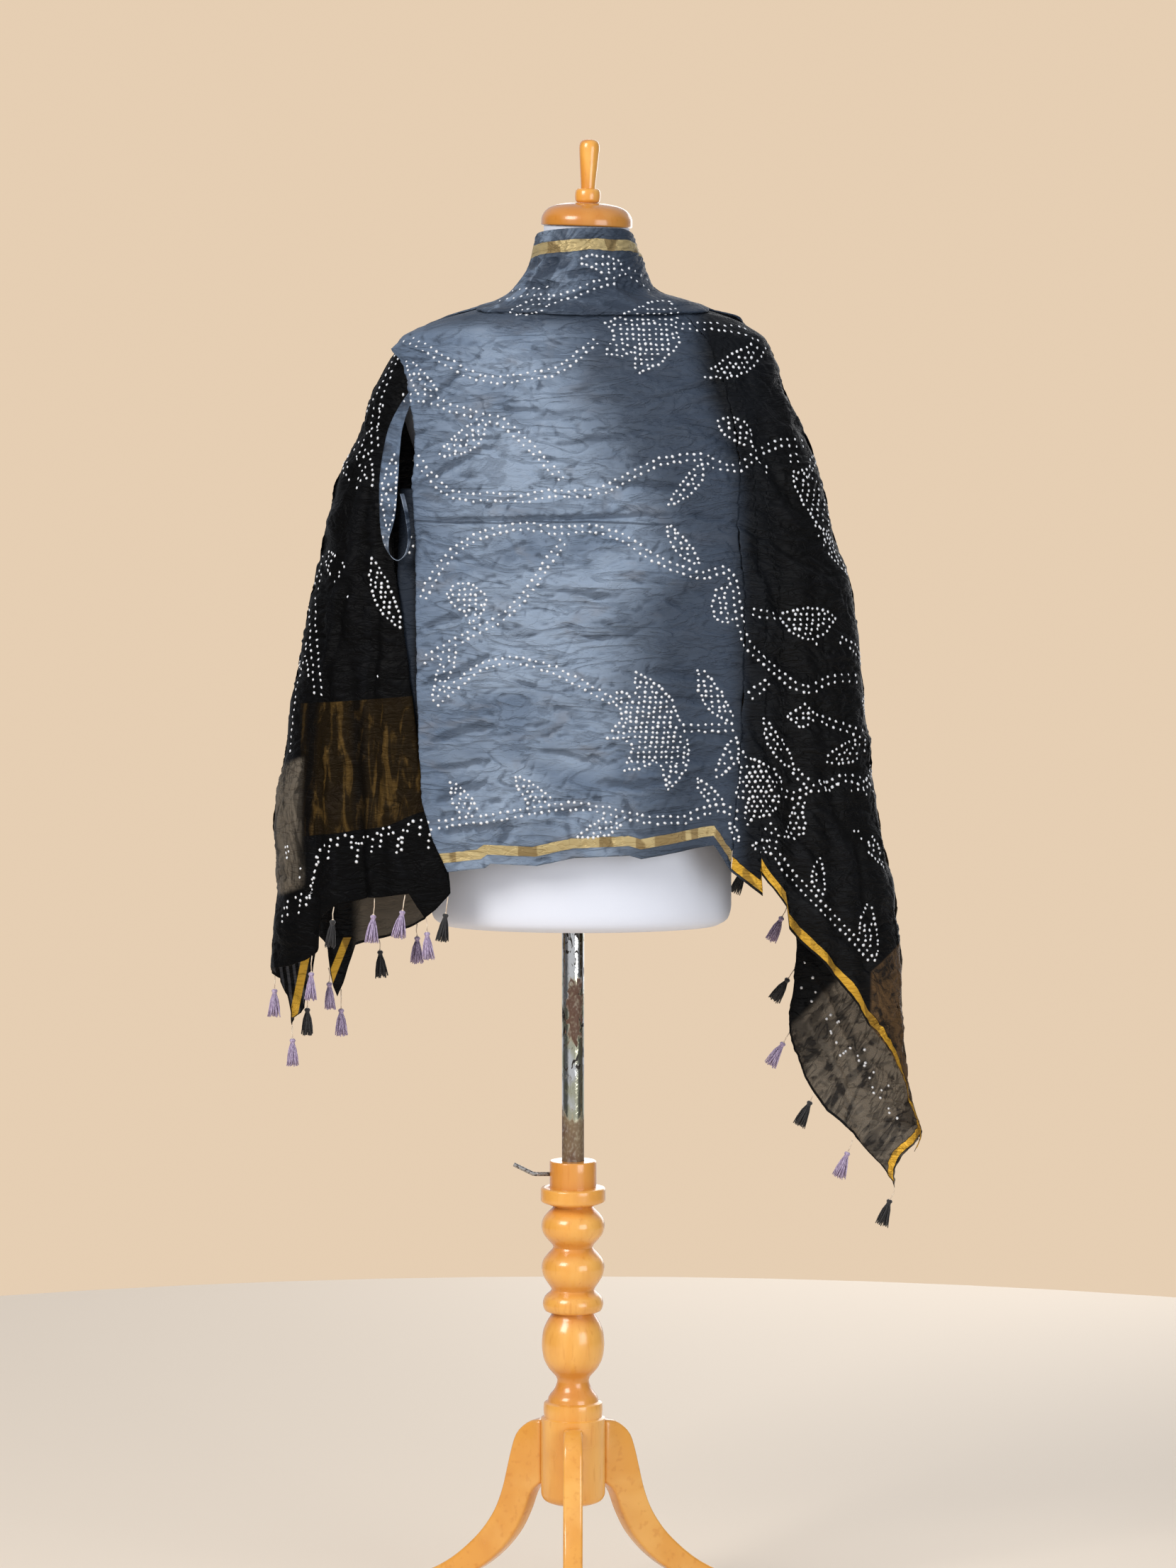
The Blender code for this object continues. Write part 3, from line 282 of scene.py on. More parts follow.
class Paint:
    """A material's nodes, with the surface's place as readings from the stand's axis."""

    def __init__(self, name):
        self.material = bpy.data.materials.new(name)
        self.material.use_nodes = True
        self.tree = self.material.node_tree
        self.shader = self.tree.nodes["Principled BSDF"]
        self.spot = self.node("ShaderNodeTexCoord", {}, {}).outputs["Object"]
        split = self.node("ShaderNodeSeparateXYZ", {}, {0: self.spot})
        self.x, self.y, self.z = (Reading(self, split.outputs[k]) for k in range(3))
        self.x, self.y = self.x - AXIS_X, self.y - AXIS_Y

    def node(self, kind, settings, values):
        """Add a node: its settings first, then numbers, colours or links for its sockets."""
        node = self.tree.nodes.new(kind)
        for key, setting in settings.items():
            setattr(node, key, setting)
        for key, value in values.items():
            self.put(node.inputs[key], value)
        return node

    def put(self, socket, value):
        """Link a reading or an output to the socket, or set a plain value on it."""
        if isinstance(value, Reading):
            value = value.socket
        if isinstance(value, bpy.types.NodeSocket):
            self.tree.links.new(value, socket)
        else:
            socket.default_value = value

    def noise(self, stretch, scale, detail=3.0, distortion=0.0):
        """Cloudy pattern from 0 to 1; a larger stretch packs it closer along that axis."""
        drawn = self.node("ShaderNodeMapping", {}, {0: self.spot, 3: stretch}).outputs[0]
        values = {"Vector": drawn, "Scale": scale, "Detail": detail, "Distortion": distortion}
        return Reading(self, self.node("ShaderNodeTexNoise", {}, values).outputs["Fac"])

    def streaks(self, lean, stretch, distortion=0.8):
        """Cloudy pattern drawn out along a line that leans from upright, as seen from behind."""
        leaning = self.node("ShaderNodeMapping", {}, {0: self.spot, 2: (0, lean, 0)}).outputs[0]
        drawn = self.node("ShaderNodeMapping", {}, {0: leaning, 3: stretch}).outputs[0]
        values = {"Vector": drawn, "Scale": 1.0, "Detail": 3.0, "Distortion": distortion}
        return Reading(self, self.node("ShaderNodeTexNoise", {}, values).outputs["Fac"])

    def mix(self, share, colour, other):
        """Colour, moving to the other one by the share."""
        values = {0: share, 6: colour, 7: other}
        return self.node("ShaderNodeMix", {"data_type": "RGBA"}, values).outputs[2]

    def bump(self, height, depth):
        """Relief of that depth in metres on the shader's normal, over any that is there."""
        values = {"Height": height, "Distance": depth, "Strength": 1.0}
        links = self.shader.inputs["Normal"].links
        if links:
            values["Normal"] = links[0].from_socket
        self.put(self.shader.inputs["Normal"], self.node("ShaderNodeBump", {}, values).outputs[0])

    def set(self, **values):
        """Put values or links on the shader's sockets and give back the finished material."""
        for name, value in values.items():
            self.put(self.shader.inputs[name.replace("_", " ")], value)
        return self.material


AMBER = (0.82, 0.375, 0.062, 1)
AMBER_LIGHT = (0.90, 0.47, 0.11, 1)
AMBER_DEEP = (0.58, 0.18, 0.016, 1)


def varnished_wood(name, grain, groove_radius, deep=AMBER_DEEP, centre_x=0.0):
    """Amber varnish over pale grain, darker in the grooves, nearer the lathe's line."""
    paint = Paint(name)
    rings = paint.noise(grain, 26, 5.0, 0.6)
    flecks = paint.noise(grain, 240, 2.0)
    cloud = paint.noise((1, 1, 1), 16, 2.0)
    reach = ((paint.x - centre_x) * (paint.x - centre_x) + paint.y * paint.y).math("SQRT")
    colour = paint.mix(rings.rise(0.38, 0.66), AMBER, AMBER_LIGHT)
    colour = paint.mix(flecks.rise(0.56, 0.72) * 0.28, colour, AMBER_DEEP)
    colour = paint.mix(cloud.rise(0.42, 0.75) * 0.30, colour, deep)
    colour = paint.mix((1 - reach.rise(groove_radius * 0.72, groove_radius)) * 0.55, colour, deep)
    paint.bump(flecks, 0.00012)
    return paint.set(Base_Color=colour, Roughness=cloud * 0.12 + 0.20, Coat_Weight=0.55,
                     Coat_Roughness=0.12)


column = turned("stand_column_looks", smoothed(COLUMN))
pick_up(column)
bpy.ops.object.mode_set(mode="EDIT")
bpy.ops.mesh.select_all(action="DESELECT")
bpy.ops.object.mode_set(mode="OBJECT")
top_face = max(column.data.polygons, key=lambda face: face.center.z)
top_face.select = True
bpy.ops.object.mode_set(mode="EDIT")
bpy.ops.mesh.select_mode(type="FACE")
bpy.ops.mesh.inset(thickness=COLUMN[-1][0] - BORE_RADIUS)
bore_drop = (0, 0, BORE_BOTTOM - COLUMN_TOP)
bpy.ops.mesh.extrude_region_move(TRANSFORM_OT_translate={"value": bore_drop})
bpy.ops.object.mode_set(mode="OBJECT")
settle(column)
column.data.materials.append(
    varnished_wood("amber_turned", grain=(1, 1, 0.12), groove_radius=0.034))
stand_for(column, "stand", "amber_wood", "stand_column")

# Legs of the stand
# Three cabriole legs sawn from board, their long edges eased by hand, glued into slots in the
# hub, with flat soles where they meet the floor.
LEG_THICKNESS = 0.022
LEG_EASE = 0.0032
LEG_STATIONS = 56
LEG_TOP = [
    (0.0368, 0.2290), (0.0470, 0.2285), (0.0570, 0.2240), (0.0700, 0.2110), (0.0767, 0.1925),
    (0.0822, 0.1710), (0.0878, 0.1486), (0.0970, 0.1240), (0.1109, 0.1016), (0.1303, 0.0800),
    (0.1635, 0.0530), (0.2000, 0.0340), (0.2350, 0.0225), (0.2650, 0.0175), (0.2880, 0.0160),
    (0.2980, 0.0110), (0.3010, 0.0050),
]
LEG_UNDER = [
    (0.0368, 0.1576), (0.0490, 0.1458), (0.0591, 0.1207), (0.0702, 0.0986), (0.0841, 0.0800),
    (0.1053, 0.0594), (0.1300, 0.0420), (0.1600, 0.0265), (0.1900, 0.0140), (0.2150, 0.0050),
    (0.2350, 0.0000), (0.3000, 0.0000),
]


def spread(rows, count):
    """Evenly spaced points along the smooth line through the rows."""
    fine = smoothed(rows, 8)
    return points_at(fine, np.linspace(0, run_along(fine)[-1], count))


def apply_modifiers(piece):
    """Apply all of the piece's modifiers, in their order."""
    pick_up(piece)
    for modifier in list(piece.modifiers):
        bpy.ops.object.modifier_apply(modifier=modifier.name)


def saw_leg(node, degrees):
    """A strip of board bent to the leg's outline, given its thickness and eased edges."""
    bpy.ops.object.select_all(action="DESELECT")
    bpy.ops.mesh.primitive_grid_add(x_subdivisions=LEG_STATIONS, y_subdivisions=1, size=2)
    leg = bpy.context.object
    leg.name = leg.data.name = node + "_looks"
    upper, under = spread(LEG_TOP, LEG_STATIONS + 1), spread(LEG_UNDER, LEG_STATIONS + 1)
    for vert in leg.data.vertices:
        station = round((vert.co.x + 1) / 2 * LEG_STATIONS)
        reach, z = (upper if vert.co.y > 0 else under)[station]
        vert.co = (reach, 0, z)
    board = leg.modifiers.new("board", "SOLIDIFY")
    board.thickness, board.offset = LEG_THICKNESS, 0
    ease = leg.modifiers.new("ease", "BEVEL")
    ease.width, ease.segments, ease.limit_method = LEG_EASE, 3, "ANGLE"
    ease.angle_limit = math.radians(50)
    apply_modifiers(leg)
    turn = Matrix.Translation((AXIS_X, AXIS_Y, 0)) @ Matrix.Rotation(math.radians(degrees), 4, "Z")
    leg.data.transform(turn)
    bpy.ops.object.mode_set(mode="EDIT")
    bpy.ops.mesh.select_all(action="SELECT")
    bpy.ops.mesh.normals_make_consistent(inside=False)
    bpy.ops.object.mode_set(mode="OBJECT")
    return settle(leg, 50)


leg_wood = varnished_wood("amber_board", grain=(0.5, 0.5, 0.5), groove_radius=0.030)
for leg_node, leg_degrees in (("leg_front", -90), ("leg_back_right", 30), ("leg_back_left", 150)):
    leg = saw_leg(leg_node, leg_degrees)
    leg.data.materials.append(leg_wood)
    stand_for(leg, "stand", "amber_wood", leg_node)

# Pole
# A steel tube that slides in the column. Its chrome plate has flaked to dark specks, and its
# lower end and a patch half way up have rusted brown.
POLE_RADIUS = 0.0125
POLE_BOTTOM, POLE_TOP = 0.330, FORM_BOTTOM - 0.0003
POLE_EASE = 0.001
RUST_TOP = 0.628
CHROME, CHROME_YELLOWED = (0.88, 0.87, 0.84, 1), (0.66, 0.64, 0.46, 1)
FLAKE = (0.018, 0.014, 0.011, 1)
RUST, RUST_PALE = (0.105, 0.054, 0.034, 1), (0.180, 0.120, 0.066, 1)
pole = turned("pole_looks", [
    (POLE_RADIUS - POLE_EASE, POLE_BOTTOM), (POLE_RADIUS, POLE_BOTTOM + POLE_EASE),
    (POLE_RADIUS, 0.565), (POLE_RADIUS, POLE_TOP - POLE_EASE), (POLE_RADIUS - POLE_EASE, POLE_TOP)])
settle(pole)
paint = Paint("flaked_chrome")
blister = paint.noise((1, 1, 0.40), 120, 4.0, 1.6)
pitting = paint.noise((1, 1, 0.7), 330, 3.0)
stain = paint.noise((1, 1, 0.5), 40, 3.0)
flaked = blister.rise(0.575, 0.605) * paint.z.rise(0.600, 0.640)
low_rust = 1 - (paint.z + stain * 0.06 + blister * 0.03).rise(RUST_TOP, RUST_TOP + 0.012)
aside = (paint.x - 0.0015 + (blister - 0.5) * 0.020).size()
patch_height = (paint.z + (blister - 0.5) * 0.05).between(0.668, 0.736, 0.004)
patch_rust = patch_height * (1 - aside.rise(0.0070, 0.0078))
rust = (low_rust + patch_rust).math("MINIMUM", 1.0) * (0.80 + pitting.rise(0.30, 0.55) * 0.20)
worn = (flaked + pitting.rise(0.64, 0.70) * 0.7).math("MINIMUM", 1.0)
plate = paint.mix(stain.rise(0.46, 0.60), CHROME, CHROME_YELLOWED)
plate = paint.mix(worn, plate, FLAKE)
brown = paint.mix(low_rust * stain.rise(0.40, 0.60), RUST, RUST_PALE)
plate = paint.mix(rust, plate, brown)
paint.bump(blister * 0.5 + pitting * 0.5, 0.0003)
pole.data.materials.append(paint.set(
    Base_Color=plate, Metallic=1 - (rust * 0.85 + worn * 0.5).math("MINIMUM", 1.0),
    Roughness=rust * 0.5 + worn * 0.3 + 0.09))
stand_for(pole, "pole", "worn_chrome", "pole")

# Clamp screw
# A bent steel rod, threaded through the collar to grip the pole and turned by its crooked end.
SCREW_HEIGHT = 0.5144
SCREW_RADIUS = 0.0024
THREAD_PITCH = 0.0011
STEEL, STEEL_STAINED = (0.42, 0.41, 0.40, 1), (0.10, 0.08, 0.07, 1)
SCREW_ROUTE = [(-0.0130, 0.0), (-0.0420, 0.0), (-0.0450, 0.0004), (-0.0475, 0.0015),
               (-0.0672, 0.0112)]
bpy.ops.object.select_all(action="DESELECT")
bpy.ops.curve.primitive_bezier_curve_add(location=(AXIS_X, AXIS_Y, SCREW_HEIGHT))
screw = bpy.context.object
screw.name = "clamp_screw_looks"
screw.data.splines.clear()
rod = screw.data.splines.new("POLY")
rod.points.add(len(SCREW_ROUTE) - 1)
for point, (x, z) in zip(rod.points, SCREW_ROUTE):
    point.co = (x, 0, z, 1)
screw.data.bevel_depth = SCREW_RADIUS
screw.data.bevel_resolution = 6
screw.data.use_fill_caps = True
bpy.ops.object.convert(target="MESH")
screw = bpy.context.object
screw.data.name = screw.name
settle(screw)
paint = Paint("worn_steel")
thread = (paint.x * (2 * math.pi / THREAD_PITCH)).math("SINE") * paint.x.between(-0.040, 0.0)
scratch = paint.noise((1, 1, 1), 420, 3.0)
paint.bump(thread, 0.0003)
screw.data.materials.append(paint.set(
    Base_Color=paint.mix(scratch.rise(0.5, 0.62), STEEL, STEEL_STAINED),
    Metallic=0.9, Roughness=scratch * 0.3 + 0.25))
stand_for(screw, "clamp", "worn_chrome", "clamp_screw")

# Dress form
# A smooth white limbless torso with a waist, cut flat underneath and a little askew at the top
# of the neck. Its skin is matt, with the faintest of clouds.
FORM_X = 0.012
NECK_X = 0.0155
NECK_TOP = 1.585
NECK_TILT = math.radians(2.0)
SKIN_BACK = 0.0010
TORSO_SIDES = 96
SKIN_COOL, SKIN_WARM = (0.71, 0.745, 0.84, 1), (0.75, 0.775, 0.85, 1)
TORSO = [
    (0.0090, 0.1560, 0.0930, FORM_BOTTOM), (0.0090, 0.1670, 0.1040, 0.8070),
    (0.0090, 0.1710, 0.1080, 0.8220), (0.0090, 0.1710, 0.1090, 0.8600),
    (0.0095, 0.1620, 0.1040, 0.9300), (0.0100, 0.1460, 0.0940, 1.0000),
    (0.0105, 0.1360, 0.0890, 1.0700), (0.0110, 0.1430, 0.0940, 1.1500),
    (0.0115, 0.1640, 0.1050, 1.2400), (0.0120, 0.1860, 0.1060, 1.3200),
    (0.0120, 0.2020, 0.1000, 1.3700), (0.0120, 0.2085, 0.0920, 1.4060),
    (0.0120, 0.2050, 0.0840, 1.4360), (0.0120, 0.1935, 0.0770, 1.4599),
    (0.0120, 0.1725, 0.0720, 1.4729), (0.0120, 0.1345, 0.0660, 1.4859),
    (0.0120, 0.0990, 0.0600, 1.4959), (0.0130, 0.0640, 0.0530, 1.5060),
    (0.0150, 0.0520, 0.0490, 1.5250), (NECK_X, 0.0490, 0.0470, 1.5600),
    (NECK_X, 0.0490, 0.0470, NECK_TOP),
]
torso_rings = [(AXIS_X + x, AXIS_Y, wide - SKIN_BACK, deep - SKIN_BACK, z)
               for x, wide, deep, z in smoothed(TORSO)]
torso = settle(stack_rings("torso_looks", torso_rings, TORSO_SIDES))
for vert in torso.data.vertices:
    if vert.co.z > NECK_TOP - 0.0001:
        vert.co.z -= (vert.co.x - AXIS_X - NECK_X) * math.tan(NECK_TILT)
paint = Paint("white_skin")
cloud = paint.noise((1, 1, 1), 9, 3.0)
grain = paint.noise((1, 1, 1), 700, 2.0)
paint.bump(grain, 0.00006)
torso.data.materials.append(paint.set(
    Base_Color=paint.mix(cloud, SKIN_COOL, SKIN_WARM), Roughness=cloud * 0.1 + 0.62))
stand_for(torso, "form", "form_white", "torso")

# Neck cap and finial
# A domed cap and a turned pin of the same varnished wood, screwed down on the neck's top and
# tilted with it.
CAP_RADIUS = 0.051
CAP_HEIGHT = 0.026
SEAT_GAP = 0.0003
SEAT = NECK_TOP + SEAT_GAP
CAP_DEEP = (0.42, 0.115, 0.008, 1)
CAP = [(CAP_RADIUS - 0.0012, 0.0), (CAP_RADIUS, 0.0012), (CAP_RADIUS, CAP_HEIGHT - 0.0190),
       (0.0485, CAP_HEIGHT - 0.0120), (0.0430, CAP_HEIGHT - 0.0062), (0.0330, CAP_HEIGHT - 0.0022),
       (0.0200, CAP_HEIGHT)]
FINIAL = [(0.0110, 0.0), (0.0138, 0.0030), (0.0143, 0.0080), (0.0138, 0.0130), (0.0110, 0.0160),
          (0.0080, 0.0165), (0.0085, 0.0240), (0.0106, 0.0500), (0.0113, 0.0610),
          (0.0106, 0.0662), (0.0080, 0.0694), (0.0045, 0.0707), (0.0008, 0.0710)]
neck_tilt = (Matrix.Translation((AXIS_X + NECK_X, AXIS_Y, SEAT)) @ Matrix.Rotation(NECK_TILT, 4, "Y")
             @ Matrix.Translation((-AXIS_X - NECK_X, -AXIS_Y, -SEAT)))
for node, outline, foot, deep, groove in (
        ("neck_cap", CAP, 0.0, CAP_DEEP, 0.095),
        ("finial", FINIAL, CAP_HEIGHT + SEAT_GAP, AMBER_DEEP, 0.0100)):
    rows = [(r, SEAT + foot + z) for r, z in smoothed(outline)]
    topping = settle(turned(node + "_looks", rows, x=NECK_X))
    topping.data.transform(neck_tilt)
    topping.data.materials.append(
        varnished_wood("amber_" + node, (1, 1, 0.3), groove, deep, centre_x=NECK_X))
    stand_for(topping, "form", "amber_wood", node)

# The drape
# One length of crushed silk, laid round the form with its selvedges level: across the back,
# round the right side to the open front, and folded back at the left to hang from the shoulder.
# Each stretch that shows is a thin shell on elliptical sections that share one centre line.
Section = namedtuple("Section", "z left right back front")
DRAPE = [
    Section(0.495, -0.3300, 0.3760, 0.0400, 0.0500), Section(0.534, -0.3300, 0.3860, 0.0450, 0.0600),
    Section(0.562, -0.3300, 0.3965, 0.0500, 0.0700), Section(0.584, -0.3300, 0.3890, 0.0600, 0.0780),
    Section(0.630, -0.3300, 0.3792, 0.0850, 0.0950), Section(0.700, -0.3350, 0.3728, 0.1120, 0.1150),
    Section(0.740, -0.3420, 0.3720, 0.1250, 0.1260), Section(0.783, -0.3400, 0.3696, 0.1350, 0.1370),
    Section(0.846, -0.3350, 0.3616, 0.1430, 0.1440), Section(0.920, -0.3380, 0.3448, 0.1420, 0.1440),
    Section(0.990, -0.3260, 0.3360, 0.1400, 0.1430), Section(1.074, -0.3136, 0.3264, 0.1380, 0.1410),
    Section(1.166, -0.2960, 0.3168, 0.1350, 0.1380), Section(1.242, -0.2790, 0.2936, 0.1320, 0.1330),
    Section(1.293, -0.2680, 0.2808, 0.1290, 0.1270), Section(1.344, -0.2475, 0.2656, 0.1240, 0.1190),
    Section(1.369, -0.2400, 0.2528, 0.1200, 0.1130), Section(1.406, -0.2280, 0.2376, 0.1140, 0.1050),
    Section(1.436, -0.2120, 0.2275, 0.1070, 0.0960), Section(1.459, -0.1955, 0.2165, 0.0990, 0.0880),
    Section(1.472, -0.1740, 0.1985, 0.0930, 0.0830), Section(1.485, -0.1370, 0.1740, 0.0860, 0.0760),
    Section(1.495, -0.1020, 0.1400, 0.0780, 0.0690), Section(1.505, -0.0740, 0.1000, 0.0690, 0.0610),
]
NECK = [
    Section(1.280, -0.2820, 0.2940, 0.1370, 0.1370), Section(1.340, -0.2580, 0.2750, 0.1310, 0.1280),
    Section(1.390, -0.2440, 0.2570, 0.1230, 0.1190), Section(1.430, -0.2250, 0.2390, 0.1140, 0.1075),
    Section(1.465, -0.1990, 0.2190, 0.1020, 0.0960), Section(1.484, -0.1510, 0.1900, 0.0930, 0.0870),
    Section(1.493, -0.1162, 0.1535, 0.0865, 0.0797), Section(1.502, -0.0900, 0.1330, 0.0810, 0.0740),
    Section(1.512, -0.0710, 0.1010, 0.0750, 0.0690), Section(1.525, -0.0600, 0.0865, 0.0700, 0.0640),
    Section(1.540, -0.0520, 0.0800, 0.0655, 0.0600), Section(1.556, -0.0460, 0.0760, 0.0620, 0.0560),
    Section(1.570, -0.0425, 0.0700, 0.0590, 0.0530), Section(1.586, -0.0405, 0.0660, 0.0565, 0.0510),
]
BACK, FRONT = -1, 1
SILK = 0.0006
LEFT_FOLD_ANGLE = -math.pi
RIGHT_FOLD_ANGLE = 0.0

# Edges that run down the cloth, as (height, x, face)
BACK_FOLD_EDGE = [
    (0.872, -0.1390, BACK), (0.910, -0.1560, BACK), (0.970, -0.1685, BACK), (1.120, -0.1735, BACK),
    (1.230, -0.1745, BACK), (1.360, -0.1770, BACK), (1.420, -0.1860, BACK), (1.440, -0.1960, BACK),
    (1.456, -0.1980, FRONT), (1.470, -0.1680, FRONT), (1.486, -0.1180, FRONT), (1.502, -0.0550, FRONT),
]
SIDE_CREASE = [
    (0.872, 0.176, BACK), (1.000, 0.186, BACK), (1.250, 0.184, BACK), (1.400, 0.172, BACK),
    (1.470, 0.140, BACK), (1.502, 0.090, BACK),
]
RIGHT_END_EDGE = [
    (0.497, 0.3667, FRONT), (0.5526, 0.3230, FRONT), (0.589, 0.2830, FRONT), (0.639, 0.2570, FRONT),
    (0.6635, 0.2500, FRONT), (0.684, 0.2490, FRONT), (0.711, 0.2515, FRONT), (0.761, 0.2570, FRONT),
    (0.800, 0.2500, FRONT), (0.830, 0.2430, FRONT), (0.862, 0.2320, FRONT), (0.885, 0.1870, FRONT),
    (0.930, 0.1500, FRONT), (1.000, 0.1300, FRONT), (1.100, 0.1200, FRONT), (1.250, 0.1200, FRONT),
    (1.400, 0.1000, FRONT), (1.502, 0.0600, FRONT),
]
LEFT_PANEL_EDGE = [
    (0.840, -0.138, BACK), (0.870, -0.140, BACK), (0.960, -0.169, BACK), (1.060, -0.181, BACK),
    (1.160, -0.194, BACK), (1.210, -0.203, BACK), (1.300, -0.206, BACK), (1.360, -0.203, BACK),
    (1.400, -0.192, BACK), (1.458, -0.190, BACK),
]
LEFT_FRONT_EDGE = [
    (0.680, -0.180, FRONT), (0.780, -0.173, FRONT), (0.900, -0.150, FRONT), (1.100, -0.125, FRONT),
    (1.300, -0.120, FRONT), (1.458, -0.120, FRONT),
]
LEFT_RETURN_START = [(0.880, -0.1780, BACK), (1.300, -0.1980, BACK)]
LEFT_RETURN_END = [(0.880, -0.1300, BACK), (1.300, -0.1600, BACK)]

# Hems, as (x, height)
BACK_HEM = [
    (-0.139, 0.872), (-0.098, 0.877), (-0.091, 0.882), (-0.040, 0.880), (0.002, 0.889),
    (0.063, 0.8915), (0.076, 0.8876), (0.158, 0.9016), (0.176, 0.872),
]
RIGHT_HEM = [
    (0.176, 0.872), (0.2095, 0.869), (0.2115, 0.844), (0.2400, 0.830), (0.2430, 0.806),
    (0.281, 0.766), (0.316, 0.7235), (0.3375, 0.690), (0.3615, 0.653), (0.376, 0.620),
    (0.385, 0.590), (0.3964, 0.563),
]
RIGHT_END_HEM = [(0.3964, 0.563), (0.3900, 0.540), (0.3667, 0.497)]
LEFT_HEM = [
    (-0.138, 0.848), (-0.155, 0.829), (-0.1666, 0.8195), (-0.1753, 0.8325), (-0.184, 0.8466),
    (-0.219, 0.841), (-0.237, 0.840), (-0.267, 0.830), (-0.284, 0.815), (-0.2925, 0.776),
    (-0.305, 0.765), (-0.319, 0.758), (-0.3415, 0.747),
]
LEFT_FRONT_HEM = [
    (-0.3415, 0.747), (-0.3336, 0.735), (-0.3264, 0.715), (-0.3195, 0.681), (-0.309, 0.702),
    (-0.3015, 0.730), (-0.2950, 0.780), (-0.289, 0.770), (-0.279, 0.733), (-0.2705, 0.709),
    (-0.2635, 0.7236), (-0.2580, 0.742), (-0.2510, 0.766), (-0.218, 0.7747), (-0.1915, 0.784),
    (-0.173, 0.793),
]

# Level edges, as (share of the way from the start edge to the end edge, height)
LEVEL_TOP = [(0, 1.505), (1, 1.505)]
LEFT_TOP = [(0, 1.446), (1, 1.440)]
LEFT_FRONT_TOP = [(0, 1.462), (0.75, 1.462), (1, 1.446)]
RETURN_TOP = [(0, 1.295), (1, 1.295)]
RETURN_HEM = [(0, 0.900), (1, 0.885)]
RIGHT_END_TOP = [(0, 1.505), (0.27, 1.487), (0.53, 1.432), (0.80, 1.340), (0.90, 1.310), (1, 1.285)]
NECK_TOP_EDGE = [
    (0, 1.455), (0.05, 1.500), (0.117, 1.550), (0.183, 1.572), (0.30, 1.580), (0.483, 1.5835),
    (0.65, 1.583), (0.783, 1.573), (0.85, 1.545), (0.917, 1.490), (0.983, 1.390), (1, 1.345),
]
NECK_FOLD_EDGE = [
    (0, 1.410), (0.05, 1.435), (0.117, 1.478), (0.183, 1.4955), (0.30, 1.490), (0.483, 1.4875),
    (0.65, 1.4885), (0.783, 1.493), (0.85, 1.475), (0.917, 1.420), (0.983, 1.325), (1, 1.290),
]

# Creases, as lines on the back or front: troughs sink, and ridges have a negative depth
Crease = namedtuple("Crease", "top_x top_z low_x low_z width depth")
BACK_CREASES = [
    Crease(-0.150, 1.200, -0.135, 0.872, 0.014, 0.0035),
    Crease(0.120, 1.330, 0.150, 0.900, 0.030, 0.0060),
]
RIGHT_CREASES = [
    Crease(0.215, 1.440, 0.262, 0.760, 0.014, 0.0060),
    Crease(0.262, 1.330, 0.306, 0.700, 0.012, 0.0050),
    Crease(0.298, 1.200, 0.338, 0.660, 0.009, 0.0040),
]
RIGHT_END_CREASES = [
    Crease(0.170, 1.300, 0.270, 0.600, 0.018, 0.0080),
    Crease(0.250, 1.200, 0.330, 0.560, 0.015, 0.0060),
]
LEFT_CREASES = [
    Crease(-0.252, 1.130, -0.242, 0.800, 0.012, 0.0140),
    Crease(-0.278, 1.400, -0.296, 0.780, 0.010, 0.0060),
    Crease(-0.240, 1.300, -0.214, 0.820, 0.010, 0.0055),
]
LEFT_FRONT_CREASES = [
    Crease(-0.200, 1.350, -0.218, 0.770, 0.014, 0.0080),
    Crease(-0.270, 1.250, -0.292, 0.740, 0.010, 0.0070),
    Crease(-0.150, 1.250, -0.185, 0.780, 0.010, 0.0060),
]

# Each stretch: its sections, its edges, the face its hem is drawn on, the steps of its grid, its
# slot and creases, and how far it stands out or tucks in at its end edge and at its top
Stretch = namedtuple(
    "Stretch", "table start end top hem face step_x step_z slot creases out tuck_end tuck_top",
    defaults=(0.0, 0.0, 0.0))
STRETCHES = {
    "back_panel": Stretch(DRAPE, BACK_FOLD_EDGE, SIDE_CREASE, LEVEL_TOP, BACK_HEM, BACK,
                          0.0024, 0.00205, "stole_grey", BACK_CREASES),
    "right_drape": Stretch(DRAPE, SIDE_CREASE, RIGHT_FOLD_ANGLE, LEVEL_TOP, RIGHT_HEM, BACK,
                           0.0025, 0.0024, "stole_black", RIGHT_CREASES),
    "right_end": Stretch(DRAPE, RIGHT_FOLD_ANGLE, RIGHT_END_EDGE, RIGHT_END_TOP, RIGHT_END_HEM, FRONT,
                         0.0031, 0.0030, "stole_sheer", RIGHT_END_CREASES),
    "left_end_outer": Stretch(DRAPE, LEFT_FOLD_ANGLE, LEFT_PANEL_EDGE, LEFT_TOP, LEFT_HEM, BACK,
                              0.0024, 0.0024, "stole_black", LEFT_CREASES, tuck_end=0.006,
                              tuck_top=0.006),
    "left_end_front": Stretch(DRAPE, LEFT_FRONT_EDGE, LEFT_FOLD_ANGLE, LEFT_FRONT_TOP, LEFT_FRONT_HEM,
                              FRONT, 0.0031, 0.0030, "stole_black", LEFT_FRONT_CREASES,
                              tuck_top=0.006),
    "left_return": Stretch(DRAPE, LEFT_RETURN_START, LEFT_RETURN_END, RETURN_TOP, RETURN_HEM, BACK,
                           0.0040, 0.0040, "stole_black", [], out=-0.0098),
    "neck_wrap": Stretch(NECK, math.radians(-235), math.radians(65), NECK_TOP_EDGE, NECK_FOLD_EDGE,
                         BACK, 0.0030, 0.0019, "stole_grey", []),
}


def half_sizes(table, z):
    """Half widths to the left and right, and half depths at the back and front, at heights z."""
    heights = [row.z for row in table]
    left, right, back, front = (
        smooth_curve(heights, [getattr(row, side) for row in table], z)
        for side in ("left", "right", "back", "front"))
    return FORM_X - left, right - FORM_X, back, front


